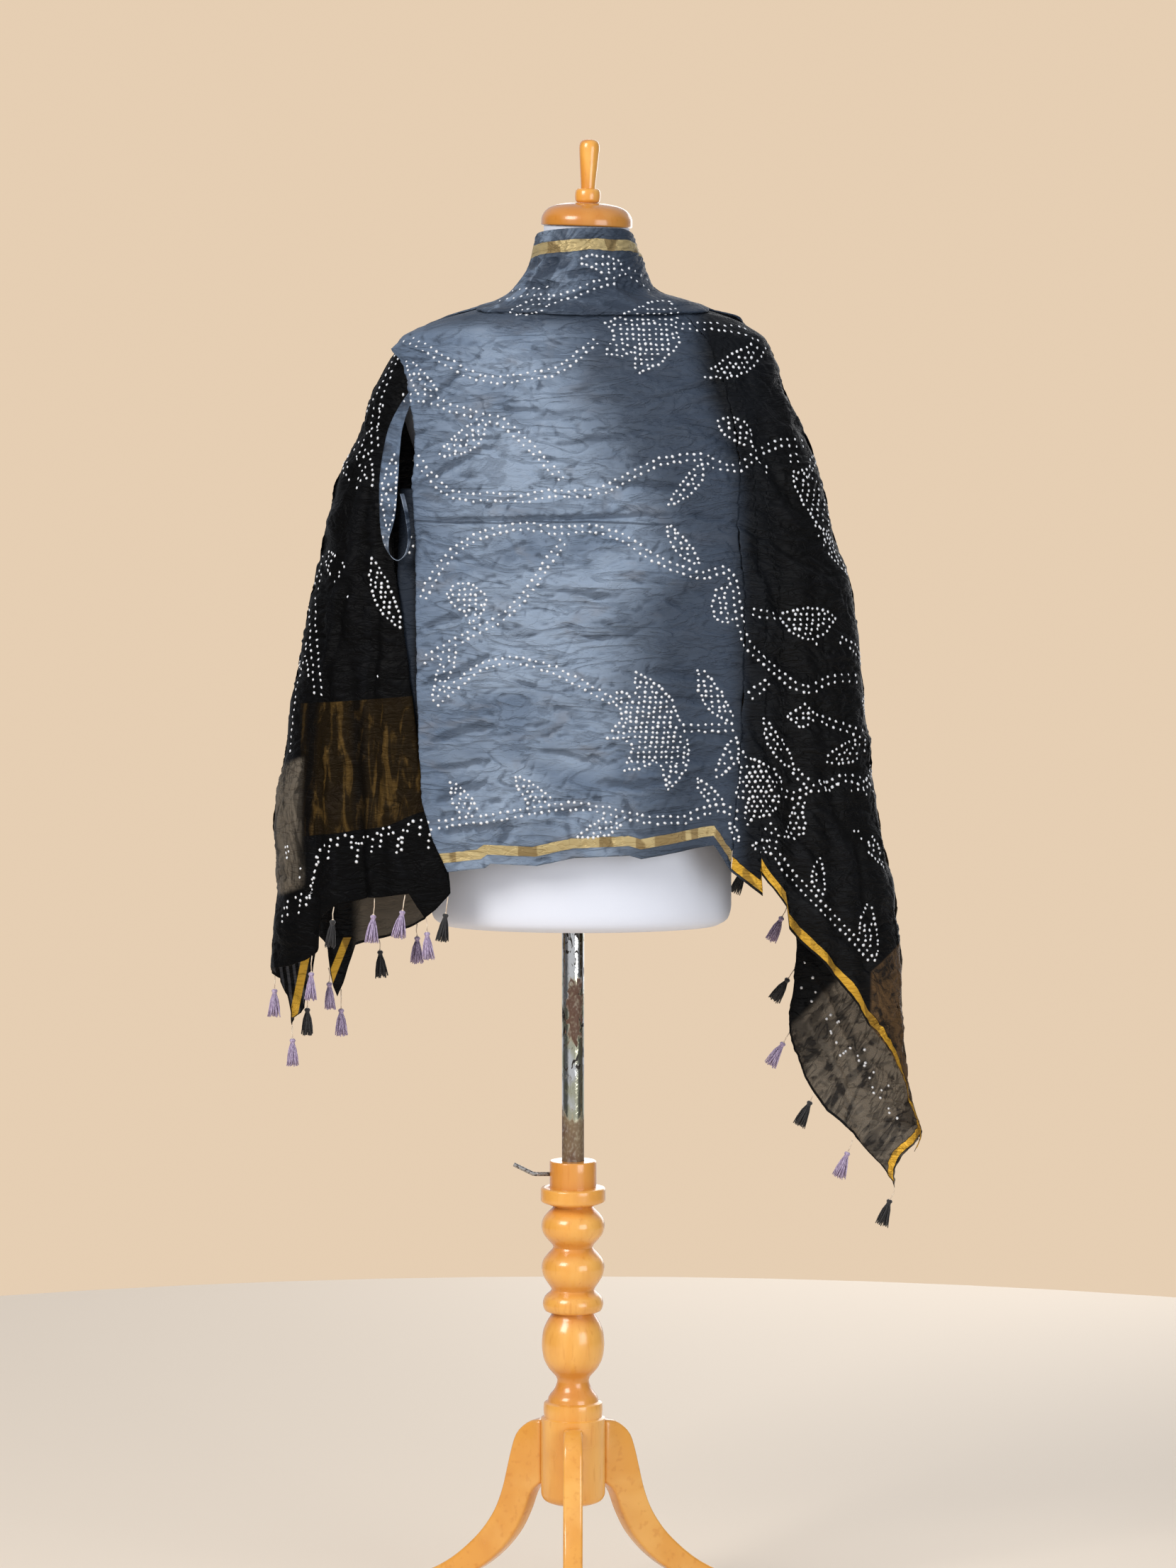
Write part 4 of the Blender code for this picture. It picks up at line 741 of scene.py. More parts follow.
def on_drape(table, angle, z, out=0.0):
    """Points of the drape at angles round the centre line (0 right, -90 degrees back)."""
    left, right, back, front = half_sizes(table, z)
    c, s = np.cos(angle), np.sin(angle)
    x = FORM_X + c * (np.where(c > 0, right, left) + out)
    y = s * (np.where(s > 0, front, back) + out)
    return np.stack(np.broadcast_arrays(x, y, z), axis=-1)


def angle_at(table, x, z, face):
    """Angle round the centre line of the point with this x, on the back or the front."""
    left, right, _, _ = half_sizes(table, np.asarray(z, float))
    offset = x - FORM_X
    angle = -math.acos(np.clip(offset / (right if offset > 0 else left), -1, 1))
    if face == BACK:
        return angle
    return -angle if offset > 0 else -2 * math.pi - angle


def edge_angles(table, edge, z):
    """Angle of a stretch's edge at heights z; a fold on the silhouette has one fixed angle."""
    if isinstance(edge, float):
        return np.full(np.shape(z), edge)
    angles = [angle_at(table, x, height, face) for height, x, face in edge]
    return smooth_curve([row[0] for row in edge], angles, z)


def hem_shares(stretch):
    """The hem as (share, height) rows in order, whatever way its table gives it."""
    if stretch.hem[0][0] == 0:
        return stretch.hem
    rows = []
    for x, z in stretch.hem:
        angle = angle_at(stretch.table, x, z, stretch.face)
        start = float(edge_angles(stretch.table, stretch.start, z))
        end = float(edge_angles(stretch.table, stretch.end, z))
        rows.append((min(max((angle - start) / (end - start), 0.0), 1.0), z))
    rows.sort()
    return [(0.0, rows[0][1])] + rows[1:-1] + [(1.0, rows[-1][1])]


def crease_relief(creases, x, z):
    """How far the folds sink the face, from each fold's line, width and depth."""
    sunk = np.zeros(np.shape(x))
    for fold in creases:
        along = (fold.top_z - z) / (fold.top_z - fold.low_z)
        line = fold.top_x + (fold.low_x - fold.top_x) * along
        reach = np.clip(along, 0, 1) ** 0.7 * (along > 0)
        sunk += fold.depth * reach * np.exp(-((x - line) / fold.width) ** 2)
    return sunk


def waves(across, up, seed, count, long_wave, short_wave):
    """Sum of waves of seeded heading, long one way and short the other; about -1 to 1."""
    chance = np.random.default_rng(seed)
    total = np.zeros(np.shape(across))
    for _ in range(count):
        k_across = chance.normal() * 2 * math.pi / long_wave
        k_up = chance.uniform(0.55, 1.45) * 2 * math.pi / short_wave
        total += np.sin(k_across * across + k_up * up + chance.uniform(0, 2 * math.pi))
    return total / math.sqrt(count)


def seen_from_eye(x, y, z):
    """Where a point of the cloth shows on the stand's own plane, to the eye behind it."""
    share = EYE_DISTANCE / (EYE_DISTANCE + y)
    return EYE_X + (x - EYE_X) * share, EYE_HEIGHT + (z - EYE_HEIGHT) * share


def press(relief, u, v, lines):
    """Sink the relief along short bowed lines, each a trough with a low ridge beside it."""
    for u0, v0, u1, v1, width, depth in lines:
        pad = 3.3 * width
        near = np.nonzero((u > min(u0, u1) - pad) & (u < max(u0, u1) + pad)
                          & (v > min(v0, v1) - pad) & (v < max(v0, v1) + pad))[0]
        if not len(near):
            continue
        run_u, run_v = u1 - u0, v1 - v0
        length = math.hypot(run_u, run_v)
        from_u, from_v = u[near] - u0, v[near] - v0
        along = 2 * (from_u * run_u + from_v * run_v) / length**2 - 1
        aside = (from_u * run_v - from_v * run_u) / length
        aside += (0.06 * length) * math.sin(u0 * 900 + v0 * 700) * along**2
        fade = np.clip(1 - along**4, 0, 1)
        trough = np.exp(-(aside / width) ** 2)
        ridge = np.exp(-((aside - 2 * width) / width) ** 2)
        relief[near] += depth * fade * (trough - 0.55 * ridge)


def crinkles(seed, wide, low, high, spacing):
    """Short crinkles at seeded places, most of them level, over a width and a range of heights."""
    chance = np.random.default_rng(seed)
    lines = []
    for _ in range(int(wide * (high - low) / spacing**2)):
        u, v = chance.uniform(0, wide), chance.uniform(low, high)
        heading = chance.normal(0, 0.26) if chance.uniform() < 0.74 else chance.uniform(-1.2, 1.2)
        half = chance.uniform(0.005, 0.016) * chance.uniform(0.7, 1.5)
        width = chance.uniform(0.0015, 0.0029)
        depth = width * chance.uniform(0.14, 0.42)
        side, up = math.cos(heading) * half, math.sin(heading) * half
        lines.append((u - side, v - up, u + side, v + up, width, depth))
    return lines


PUCKER_GAP, PUCKER_PITCH = 0.0035, 0.0068


def puckers(seed, routes):
    """Short creases that run out of a dotted line on both sides, as the bound thread pulls them."""
    chance = np.random.default_rng(seed)
    lines = []
    for route in routes:
        route = np.asarray(route, float)
        run = run_along(route)
        steps = np.diff(run)
        for at in np.arange(0.004, run[-1], PUCKER_PITCH):
            k = min(max(int(np.searchsorted(run, at)) - 1, 0), len(steps) - 1)
            u, v = route[k] + (route[k + 1] - route[k]) * (at - run[k]) / steps[k]
            ahead = math.atan2(*(route[k + 1] - route[k])[::-1])
            for side in (-1, 1):
                length = chance.uniform(0.006, 0.024)
                heading = ahead + side * (math.pi / 2 + chance.uniform(-0.8, 0.8))
                width = chance.uniform(0.0014, 0.0021)
                depth = width * chance.uniform(0.20, 0.50)
                c, s = math.cos(heading), math.sin(heading)
                far = PUCKER_GAP + length
                lines.append((u + PUCKER_GAP * c, v + PUCKER_GAP * s, u + far * c, v + far * s,
                              width, depth))
    return lines


def crushed(across, up):
    """Relief of crushed silk at large: soft swells, and level ridges that come and go."""
    drift = 0.010 * waves(across, up, seed=3, count=5, long_wave=0.16, short_wave=0.22)
    swell = waves(across, up + drift, seed=11, count=7, long_wave=0.22, short_wave=0.060)
    crinkle = waves(across, up + drift, seed=12, count=9, long_wave=0.075, short_wave=0.0170)
    gather = waves(across, up, seed=14, count=6, long_wave=0.13, short_wave=0.12)
    gather = np.clip(0.45 + 0.7 * gather, 0.1, 1)
    return 0.0012 * swell + 0.0009 * (1 - np.abs(crinkle)) * gather


# Lines of the pattern, in metres across and up: what shows from behind, as seen on the stand's
# plane, and plainer vines of the same kind for the sides and the front
Leaf = namedtuple("Leaf", "x0 z0 x1 z1 breadth")
BACK_VINES = [
    [(-0.192, 1.463), (-0.166, 1.450), (-0.138, 1.433), (-0.114, 1.420), (-0.086, 1.414), (-0.055, 1.418),
     (-0.025, 1.422), (0.001, 1.437), (0.031, 1.462)],
    [(-0.194, 1.394), (-0.166, 1.394), (-0.138, 1.383), (-0.102, 1.373), (-0.084, 1.369), (-0.061, 1.351),
     (-0.035, 1.326), (-0.010, 1.300)],
    [(-0.178, 1.330), (-0.158, 1.305), (-0.138, 1.287), (-0.114, 1.283), (-0.086, 1.283), (-0.055, 1.281),
     (-0.025, 1.287), (0.001, 1.286), (0.031, 1.290), (0.057, 1.302), (0.085, 1.317), (0.113, 1.326),
     (0.143, 1.328), (0.164, 1.318), (0.184, 1.315), (0.210, 1.333), (0.238, 1.344), (0.268, 1.342)],
    [(-0.170, 1.166), (-0.158, 1.191), (-0.133, 1.222), (-0.097, 1.242), (-0.056, 1.250), (-0.015, 1.245),
     (0.021, 1.247), (0.056, 1.237), (0.087, 1.217), (0.122, 1.201), (0.148, 1.194), (0.169, 1.201),
     (0.182, 1.186), (0.186, 1.160), (0.195, 1.120), (0.211, 1.102), (0.230, 1.086), (0.251, 1.070),
     (0.266, 1.066), (0.285, 1.075), (0.306, 1.079), (0.325, 1.078)],
    [(-0.010, 1.235), (-0.030, 1.206), (-0.051, 1.176), (-0.076, 1.150), (-0.112, 1.130), (-0.142, 1.114),
     (-0.170, 1.097)],
    [(-0.158, 1.048), (-0.127, 1.074), (-0.097, 1.094), (-0.066, 1.099), (-0.026, 1.089), (0.006, 1.074),
     (0.043, 1.054)],
    [(-0.155, 0.913), (-0.098, 0.920), (-0.054, 0.927), (-0.027, 0.932), (0.010, 0.934), (0.034, 0.930),
     (0.067, 0.922), (0.096, 0.918), (0.122, 0.918), (0.142, 0.926), (0.167, 0.932), (0.188, 0.923)],
    [(0.122, 1.022), (0.183, 1.023)],
    [(0.197, 1.058), (0.222, 1.076)],
    [(0.249, 0.976), (0.268, 0.957)],
    [(0.278, 1.034), (0.326, 1.015)],
    [(0.230, 0.950), (0.251, 0.946), (0.268, 0.953), (0.281, 0.955), (0.295, 0.961), (0.310, 0.966),
     (0.329, 0.959), (0.337, 0.946)],
    [(0.218, 0.914), (0.228, 0.902), (0.226, 0.886), (0.237, 0.869), (0.249, 0.854), (0.264, 0.838),
     (0.287, 0.814), (0.314, 0.786), (0.340, 0.757)],
    [(0.050, 1.526), (0.030, 1.522), (0.014, 1.516), (-0.002, 1.509), (-0.022, 1.504)],
    [(-0.086, 1.506), (-0.055, 1.512), (-0.024, 1.514)],
    [(0.058, 1.538), (0.090, 1.518)],
    [(0.120, 1.474), (0.154, 1.474), (0.186, 1.470), (0.210, 1.462)],
    [(0.247, 1.334), (0.250, 1.316)],
    [(0.200, 1.154), (0.230, 1.149)],
    [(-0.202, 1.446), (-0.212, 1.424), (-0.227, 1.395), (-0.240, 1.368), (-0.246, 1.347)],
    [(-0.198, 1.443), (-0.210, 1.415), (-0.219, 1.390), (-0.222, 1.360), (-0.223, 1.334)],
    [(-0.285, 1.220), (-0.294, 1.176), (-0.292, 1.120), (-0.287, 1.060)],
    [(-0.286, 1.200), (-0.302, 1.120), (-0.317, 1.056), (-0.323, 0.992)],
]
BACK_LEAVES = [
    Leaf(-0.150, 1.392, -0.186, 1.439, 0.019),
    Leaf(-0.097, 1.370, -0.151, 1.330, 0.024),
    Leaf(0.146, 1.320, 0.108, 1.274, 0.017),
    Leaf(0.163, 1.368, 0.202, 1.338, 0.024),
    Leaf(0.142, 1.208, 0.105, 1.255, 0.016),
    Leaf(-0.019, 1.508, -0.074, 1.490, 0.015),
    Leaf(0.217, 1.456, 0.148, 1.418, 0.025),
    Leaf(-0.135, 1.125, -0.158, 1.058, 0.016),
    Leaf(0.179, 1.030, 0.142, 1.092, 0.022),
    Leaf(0.184, 1.011, 0.160, 0.966, 0.016),
    Leaf(0.170, 0.936, 0.140, 0.966, 0.014),
    Leaf(0.249, 0.976, 0.215, 1.035, 0.015),
    Leaf(0.330, 1.009, 0.283, 0.986, 0.022),
    Leaf(0.203, 0.889, 0.227, 0.882, 0.014),
    Leaf(0.282, 0.834, 0.279, 0.875, 0.014),
    Leaf(0.178, 0.915, 0.186, 0.890, 0.007),
    Leaf(0.248, 1.312, 0.296, 1.229, 0.029),
    Leaf(0.296, 1.146, 0.230, 1.150, 0.035),
    Leaf(-0.105, 0.920, -0.138, 0.964, 0.020),
    Leaf(-0.017, 0.929, -0.067, 0.971, 0.021),
    Leaf(0.062, 0.929, 0.006, 0.899, 0.019),
    Leaf(0.342, 0.759, 0.334, 0.826, 0.019),
    Leaf(-0.246, 1.347, -0.226, 1.294, 0.014),
    Leaf(-0.195, 1.136, -0.226, 1.216, 0.021),
    Leaf(-0.2065, 1.246, -0.1995, 1.332, 0.016),
    Leaf(-0.287, 1.060, -0.298, 1.136, 0.011),
]
BACK_SHAPES = [
    [(0.037, 1.478), (0.090, 1.502), (0.110, 1.502), (0.118, 1.491), (0.115, 1.474), (0.120, 1.456),
     (0.112, 1.446), (0.094, 1.430), (0.070, 1.420), (0.070, 1.434), (0.070, 1.450), (0.058, 1.441),
     (0.034, 1.443), (0.043, 1.454), (0.047, 1.466)],
    [(0.072, 1.085), (0.088, 1.077), (0.101, 1.066), (0.111, 1.053), (0.118, 1.038), (0.122, 1.026),
     (0.130, 1.007), (0.131, 0.990), (0.126, 0.974), (0.118, 0.963), (0.106, 0.950), (0.104, 0.966),
     (0.102, 0.978), (0.092, 0.986), (0.078, 0.977), (0.057, 0.974), (0.063, 0.988), (0.069, 1.001),
     (0.057, 1.011), (0.038, 1.012), (0.046, 1.022), (0.055, 1.030), (0.054, 1.045), (0.046, 1.051),
     (0.048, 1.062), (0.058, 1.063), (0.067, 1.055), (0.071, 1.059), (0.071, 1.072)],
    [(0.190, 1.001), (0.194, 0.990), (0.211, 0.984), (0.226, 0.976), (0.235, 0.964), (0.234, 0.953),
     (0.232, 0.938), (0.224, 0.925), (0.214, 0.922), (0.203, 0.922), (0.197, 0.911), (0.194, 0.927),
     (0.199, 0.942), (0.186, 0.944), (0.184, 0.950), (0.188, 0.963), (0.190, 0.976), (0.188, 0.988)],
    [(0.241, 1.036), (0.262, 1.049), (0.278, 1.034), (0.258, 1.022)],
    [(0.258, 0.940), (0.262, 0.940), (0.259, 0.932), (0.262, 0.911), (0.259, 0.902), (0.250, 0.898),
     (0.238, 0.900), (0.245, 0.913), (0.247, 0.930)],
    [(0.010, 1.550), (0.018, 1.553), (0.043, 1.552), (0.053, 1.546), (0.056, 1.538), (0.050, 1.527),
     (0.030, 1.535), (0.018, 1.542), (0.011, 1.543)],
    [(0.156, 1.160), (0.162, 1.178), (0.178, 1.182), (0.188, 1.168), (0.187, 1.150), (0.174, 1.141),
     (0.160, 1.146)],
    [(-0.142, 1.174), (-0.130, 1.186), (-0.112, 1.184), (-0.099, 1.173), (-0.098, 1.160), (-0.106, 1.146),
     (-0.117, 1.139), (-0.122, 1.154), (-0.134, 1.160)],
]
SIDE_VINES = [
    [(-0.110, 1.330), (-0.060, 1.300), (0.000, 1.318), (0.060, 1.290), (0.110, 1.310)],
    [(-0.120, 1.080), (-0.070, 1.110), (0.000, 1.075), (0.060, 1.050), (0.120, 1.085)],
    [(-0.110, 0.955), (-0.050, 0.930), (0.010, 0.950), (0.080, 0.915), (0.120, 0.930)],
]
SIDE_LEAVES = [
    Leaf(-0.050, 1.240, -0.020, 1.180, 0.022), Leaf(0.030, 1.210, 0.070, 1.160, 0.020),
    Leaf(-0.020, 1.030, 0.030, 1.000, 0.020), Leaf(0.050, 1.390, 0.030, 1.340, 0.018),
    Leaf(-0.060, 0.880, -0.030, 0.830, 0.018), Leaf(0.040, 0.870, 0.060, 0.820, 0.016),
]
FRONT_VINES = [
    [(0.130, 1.250), (0.170, 1.225), (0.200, 1.180), (0.250, 1.160), (0.285, 1.170)],
    [(0.140, 1.010), (0.180, 1.040), (0.230, 1.020), (0.270, 0.980), (0.320, 0.985)],
    [(0.215, 0.880), (0.250, 0.905), (0.290, 0.880), (0.335, 0.890)],
    [(-0.130, 1.330), (-0.160, 1.290), (-0.195, 1.280), (-0.240, 1.300)],
    [(-0.135, 1.130), (-0.170, 1.160), (-0.210, 1.140), (-0.250, 1.160), (-0.290, 1.140)],
    [(0.115, 1.400), (0.150, 1.380), (0.190, 1.395), (0.225, 1.370)],
]
FRONT_LEAVES = [
    Leaf(0.150, 1.170, 0.180, 1.110, 0.022), Leaf(0.230, 1.110, 0.260, 1.060, 0.020),
    Leaf(0.170, 0.960, 0.210, 0.920, 0.020), Leaf(0.270, 0.830, 0.300, 0.780, 0.020),
    Leaf(-0.160, 1.230, -0.180, 1.175, 0.020), Leaf(-0.230, 1.240, -0.255, 1.190, 0.020),
    Leaf(-0.180, 1.105, -0.215, 1.070, 0.018), Leaf(0.180, 1.330, 0.205, 1.280, 0.022),
]
FRONT_FLOWERS = [(0.225, 1.250), (-0.195, 1.370)]


def leaf_outline(leaf):
    """Almond outline of a leaf, a little bowed, from its root round its tip and back."""
    root, tip = np.array((leaf.x0, leaf.z0)), np.array((leaf.x1, leaf.z1))
    along = tip - root
    side = np.array((-along[1], along[0])) / np.linalg.norm(along)
    t = np.linspace(0, 1, 13)
    half = leaf.breadth / 2 * np.sin(np.pi * t**0.85) ** 0.85
    bow = leaf.breadth * 0.22 * np.sin(np.pi * t)
    one = root + along * t[:, None] + side * (bow + half)[:, None]
    other = root + along * t[:, None] + side * (bow - half)[:, None]
    return np.concatenate((one, other[::-1]))


def flower_outline(x, z, radius, petals):
    """Outline with pointed petals."""
    turn = np.linspace(0, 2 * np.pi, 8 * petals + 1)
    reach = radius * (0.74 + 0.26 * np.abs(np.cos(turn * petals / 2)) ** 3)
    return np.stack((x + reach * np.cos(turn), z + reach * np.sin(turn)), 1)


BACK_OUTLINES = [leaf_outline(leaf) for leaf in BACK_LEAVES]
BACK_OUTLINES += [np.array(shape + shape[:1]) for shape in BACK_SHAPES]
SIDE_OUTLINES = [leaf_outline(leaf) for leaf in SIDE_LEAVES]
FRONT_OUTLINES = [leaf_outline(leaf) for leaf in FRONT_LEAVES]
FRONT_OUTLINES += [flower_outline(x, z, 0.028, 6) for x, z in FRONT_FLOWERS]

# Long creases given one by one, behind, in front and on the neck wrap; a ridge has a negative depth
Line = namedtuple("Line", "x0 z0 x1 z1 width depth")
BACK_LINES = [
    Line(-0.174, 1.256, 0.130, 1.263, 0.0030, 0.0026), Line(0.130, 1.263, 0.178, 1.256, 0.0030, 0.0026),
    Line(0.178, 1.256, 0.222, 1.232, 0.0032, 0.0024), Line(0.222, 1.232, 0.296, 1.190, 0.0034, 0.0020),
    Line(-0.172, 1.380, -0.120, 1.432, 0.0045, 0.0016), Line(-0.170, 1.300, -0.090, 1.345, 0.0050, 0.0018),
    Line(-0.090, 1.385, 0.020, 1.372, 0.0040, 0.0012), Line(-0.030, 1.340, 0.080, 1.356, 0.0045, 0.0014),
    Line(0.040, 1.300, 0.140, 1.292, 0.0050, 0.0016), Line(0.070, 1.420, 0.160, 1.402, 0.0050, 0.0018),
    Line(0.110, 1.380, 0.200, 1.330, 0.0055, 0.0022), Line(-0.170, 1.140, -0.100, 1.160, 0.0045, 0.0018),
    Line(-0.168, 1.070, -0.090, 1.105, 0.0050, 0.0020), Line(-0.165, 1.010, -0.080, 1.030, 0.0055, 0.0022),
    Line(-0.163, 0.975, -0.095, 0.985, 0.0045, 0.0020), Line(-0.160, 0.940, -0.100, 0.962, 0.0050, 0.0022),
    Line(-0.155, 0.905, -0.060, 0.915, 0.0050, 0.0020), Line(-0.020, 1.180, 0.060, 1.170, 0.0045, 0.0013),
    Line(0.010, 1.120, 0.090, 1.134, 0.0045, 0.0014), Line(0.080, 1.090, 0.180, 1.075, 0.0050, 0.0022),
    Line(0.090, 1.060, 0.180, 1.052, 0.0045, 0.0020), Line(0.120, 1.020, 0.184, 1.012, 0.0050, 0.0020),
    Line(0.060, 0.985, 0.178, 0.990, 0.0055, 0.0022), Line(0.020, 0.955, 0.120, 0.962, 0.0050, 0.0018),
    Line(-0.040, 1.000, 0.030, 0.985, 0.0045, 0.0014), Line(-0.060, 0.925, 0.020, 0.932, 0.0045, 0.0014),
    Line(0.070, 0.906, 0.060, 0.940, 0.0040, 0.0016), Line(0.120, 0.905, 0.112, 0.935, 0.0040, 0.0016),
    Line(-0.085, 0.885, -0.070, 0.915, 0.0045, 0.0018), Line(0.000, 0.890, -0.010, 0.918, 0.0040, 0.0014),
    Line(0.195, 1.430, 0.240, 1.330, 0.0055, -0.0018), Line(0.200, 1.360, 0.262, 1.250, 0.0060, 0.0026),
    Line(0.196, 1.250, 0.250, 1.120, 0.0060, 0.0024), Line(0.200, 1.120, 0.300, 1.060, 0.0060, 0.0022),
    Line(0.200, 1.040, 0.250, 0.930, 0.0055, 0.0024), Line(0.215, 0.960, 0.300, 0.850, 0.0060, 0.0026),
    Line(0.230, 0.880, 0.330, 0.770, 0.0060, 0.0024), Line(0.280, 0.980, 0.330, 0.860, 0.0055, 0.0020),
    Line(0.320, 0.920, 0.345, 0.760, 0.0050, 0.0020), Line(0.260, 0.800, 0.330, 0.730, 0.0045, 0.0016),
    Line(-0.205, 1.380, -0.225, 1.180, 0.0050, 0.0026), Line(-0.232, 1.350, -0.262, 1.150, 0.0055, -0.0020),
    Line(-0.250, 1.220, -0.290, 1.020, 0.0050, 0.0026), Line(-0.220, 1.180, -0.232, 1.040, 0.0050, 0.0024),
    Line(-0.205, 1.060, -0.200, 0.930, 0.0045, 0.0018), Line(-0.222, 1.020, -0.218, 0.900, 0.0045, -0.0016),
    Line(-0.272, 1.030, -0.268, 0.920, 0.0045, 0.0018), Line(-0.284, 0.990, -0.288, 0.850, 0.0050, 0.0024),
    Line(-0.303, 1.000, -0.318, 0.800, 0.0050, 0.0024), Line(-0.200, 0.900, -0.180, 0.850, 0.0050, 0.0020),
    Line(-0.230, 0.895, -0.224, 0.846, 0.0045, 0.0018), Line(-0.262, 0.890, -0.262, 0.840, 0.0045, 0.0018),
]
FRONT_LINES = [
    Line(0.130, 1.300, 0.240, 1.180, 0.0060, 0.0024), Line(0.140, 1.180, 0.250, 1.080, 0.0060, 0.0022),
    Line(0.150, 1.080, 0.280, 0.980, 0.0060, 0.0024), Line(0.180, 0.980, 0.300, 0.860, 0.0060, 0.0026),
    Line(0.260, 0.900, 0.330, 0.720, 0.0055, 0.0024), Line(0.265, 0.780, 0.350, 0.610, 0.0050, 0.0020),
    Line(0.170, 1.400, 0.230, 1.300, 0.0060, 0.0022), Line(0.270, 0.690, 0.340, 0.570, 0.0045, -0.0016),
    Line(-0.140, 1.400, -0.190, 1.200, 0.0060, 0.0024), Line(-0.160, 1.240, -0.210, 1.040, 0.0055, 0.0024),
    Line(-0.230, 1.300, -0.260, 1.080, 0.0055, -0.0020), Line(-0.190, 1.060, -0.240, 0.860, 0.0055, 0.0024),
    Line(-0.250, 1.020, -0.300, 0.820, 0.0055, 0.0022), Line(-0.170, 0.960, -0.200, 0.810, 0.0050, 0.0020),
]
NECK_LINES = [
    Line(-0.041, 1.527, 0.002, 1.551, 0.0042, 0.0036), Line(-0.036, 1.538, -0.017, 1.547, 0.0036, 0.0030),
    Line(-0.051, 1.538, -0.038, 1.550, 0.0036, 0.0028), Line(-0.066, 1.502, 0.030, 1.494, 0.0050, 0.0034),
    Line(0.047, 1.522, 0.079, 1.502, 0.0046, 0.0034), Line(0.003, 1.508, 0.047, 1.516, 0.0045, 0.0032),
    Line(0.085, 1.516, 0.112, 1.502, 0.0045, 0.0030), Line(0.114, 1.489, 0.161, 1.481, 0.0050, 0.0034),
    Line(-0.007, 1.531, 0.018, 1.538, 0.0036, 0.0026), Line(-0.094, 1.491, -0.022, 1.486, 0.0045, 0.0028),
    Line(-0.014, 1.558, -0.006, 1.576, 0.0028, 0.0018), Line(0.014, 1.555, 0.020, 1.571, 0.0026, 0.0018),
    Line(0.043, 1.558, 0.050, 1.573, 0.0026, 0.0018), Line(-0.054, 1.520, -0.014, 1.522, 0.0042, 0.0030),
    Line(-0.086, 1.496, -0.038, 1.500, 0.0042, 0.0028), Line(0.034, 1.500, 0.074, 1.494, 0.0042, 0.0030),
    Line(0.058, 1.520, 0.078, 1.510, 0.0040, 0.0028), Line(-0.026, 1.542, -0.006, 1.558, 0.0034, 0.0026),
    Line(-0.110, 1.488, -0.140, 1.476, 0.0045, 0.0026), Line(0.020, 1.545, 0.052, 1.528, 0.0040, -0.0024),
    Line(0.150, 1.466, 0.196, 1.446, 0.0050, 0.0030), Line(0.170, 1.478, 0.214, 1.440, 0.0046, 0.0026),
]
CRINKLE_SPACING = 0.0125
ROLL_OUT, LIP_IN = 0.0040, 0.0030


def stretch_calm(name, shares):
    """Share of the relief that is kept where a stretch slips under its neighbour."""
    if name == "left_return":
        return 0.35
    if name == "left_end_outer":
        return 1 - 0.6 * shares**6
    return 1.0


def middle_width(stretch, z):
    """Length of the stretch round the drape at that height."""
    ends = [float(edge_angles(stretch.table, edge, z)) for edge in (stretch.start, stretch.end)]
    level = on_drape(stretch.table, np.linspace(*ends, 60), np.full(60, z))
    return float(np.linalg.norm(np.diff(level, axis=0), axis=1).sum())


def creased_depth(name, flat, across, low, high):
    """How far crinkles, long creases and the pull of the dots sink each point of the grid."""
    face = STRETCHES[name].face
    x, y, z = (flat[..., k].ravel() for k in range(3))
    sunk = np.zeros(z.size)
    seed = sum(map(ord, name))
    press(sunk, across.ravel(), z, crinkles(seed, float(across.max()), low, high, CRINKLE_SPACING))
    seen_x, seen_z = seen_from_eye(x, y, z)
    shown = np.nonzero(y < 0 if face == BACK else y > 0)[0]
    lines, routes = BACK_LINES, BACK_VINES + BACK_OUTLINES
    if name == "neck_wrap":
        lines = NECK_LINES
    if face == FRONT:
        lines, routes = FRONT_LINES, FRONT_VINES + FRONT_OUTLINES
    relief = np.zeros(len(shown))
    press(relief, seen_x[shown], seen_z[shown], lines)
    press(relief, seen_x[shown], seen_z[shown], puckers(seed + 1, routes))
    sunk[shown] += relief
    calmer_top = np.clip((1.60 - z) / 0.06, 0.4, 1)
    return (sunk * calmer_top).reshape(across.shape)


def stretch_grid(name):
    """Outer face of a stretch on a fine grid, columns by rows, and how far its creases sink it."""
    stretch = STRETCHES[name]
    hem = hem_shares(stretch)
    low, high = min(z for _, z in hem), max(z for _, z in stretch.top)
    columns = max(int(middle_width(stretch, (low + high) / 2) / stretch.step_x), 12)
    rows = int((high - low) / stretch.step_z)
    corners = [share for share, _ in hem]
    even = [s for s in np.linspace(0, 1, columns) if min(abs(s - c) for c in corners) > 0.35 / columns]
    shares, falls = np.meshgrid(
        np.array(sorted(set(even + corners))), np.linspace(0, 1, rows), indexing="ij")
    top_z = smooth_curve(*zip(*stretch.top), shares)
    hem_z = np.interp(shares, *zip(*hem))
    z = top_z + (hem_z - top_z) * falls
    start = edge_angles(stretch.table, stretch.start, z)
    end = edge_angles(stretch.table, stretch.end, z)
    angle = start + (end - start) * shares
    flat = on_drape(stretch.table, angle, z)
    across = lengths(flat, 0)
    sunk = creased_depth(name, flat, across, low, high)
    swells = crushed(across + start, z) - SILK
    folds = crease_relief(stretch.creases, flat[..., 0], z) * np.clip(12 * shares * (1 - shares), 0, 1)
    out = stretch.out + (swells - sunk) * stretch_calm(name, shares) - folds
    out = out - stretch.tuck_end * shares**4 - stretch.tuck_top * np.clip((z - 1.30) / 0.10, 0, 1)
    if name == "neck_wrap":
        up = lengths(flat[:, ::-1], 1)[:, ::-1]
        out = out + ROLL_OUT * np.exp(-((up - 0.011) / 0.008) ** 2) - LIP_IN * np.exp(-(up / 0.0035) ** 2)
    return on_drape(stretch.table, angle, z, out) + np.array((AXIS_X, AXIS_Y, 0)), sunk


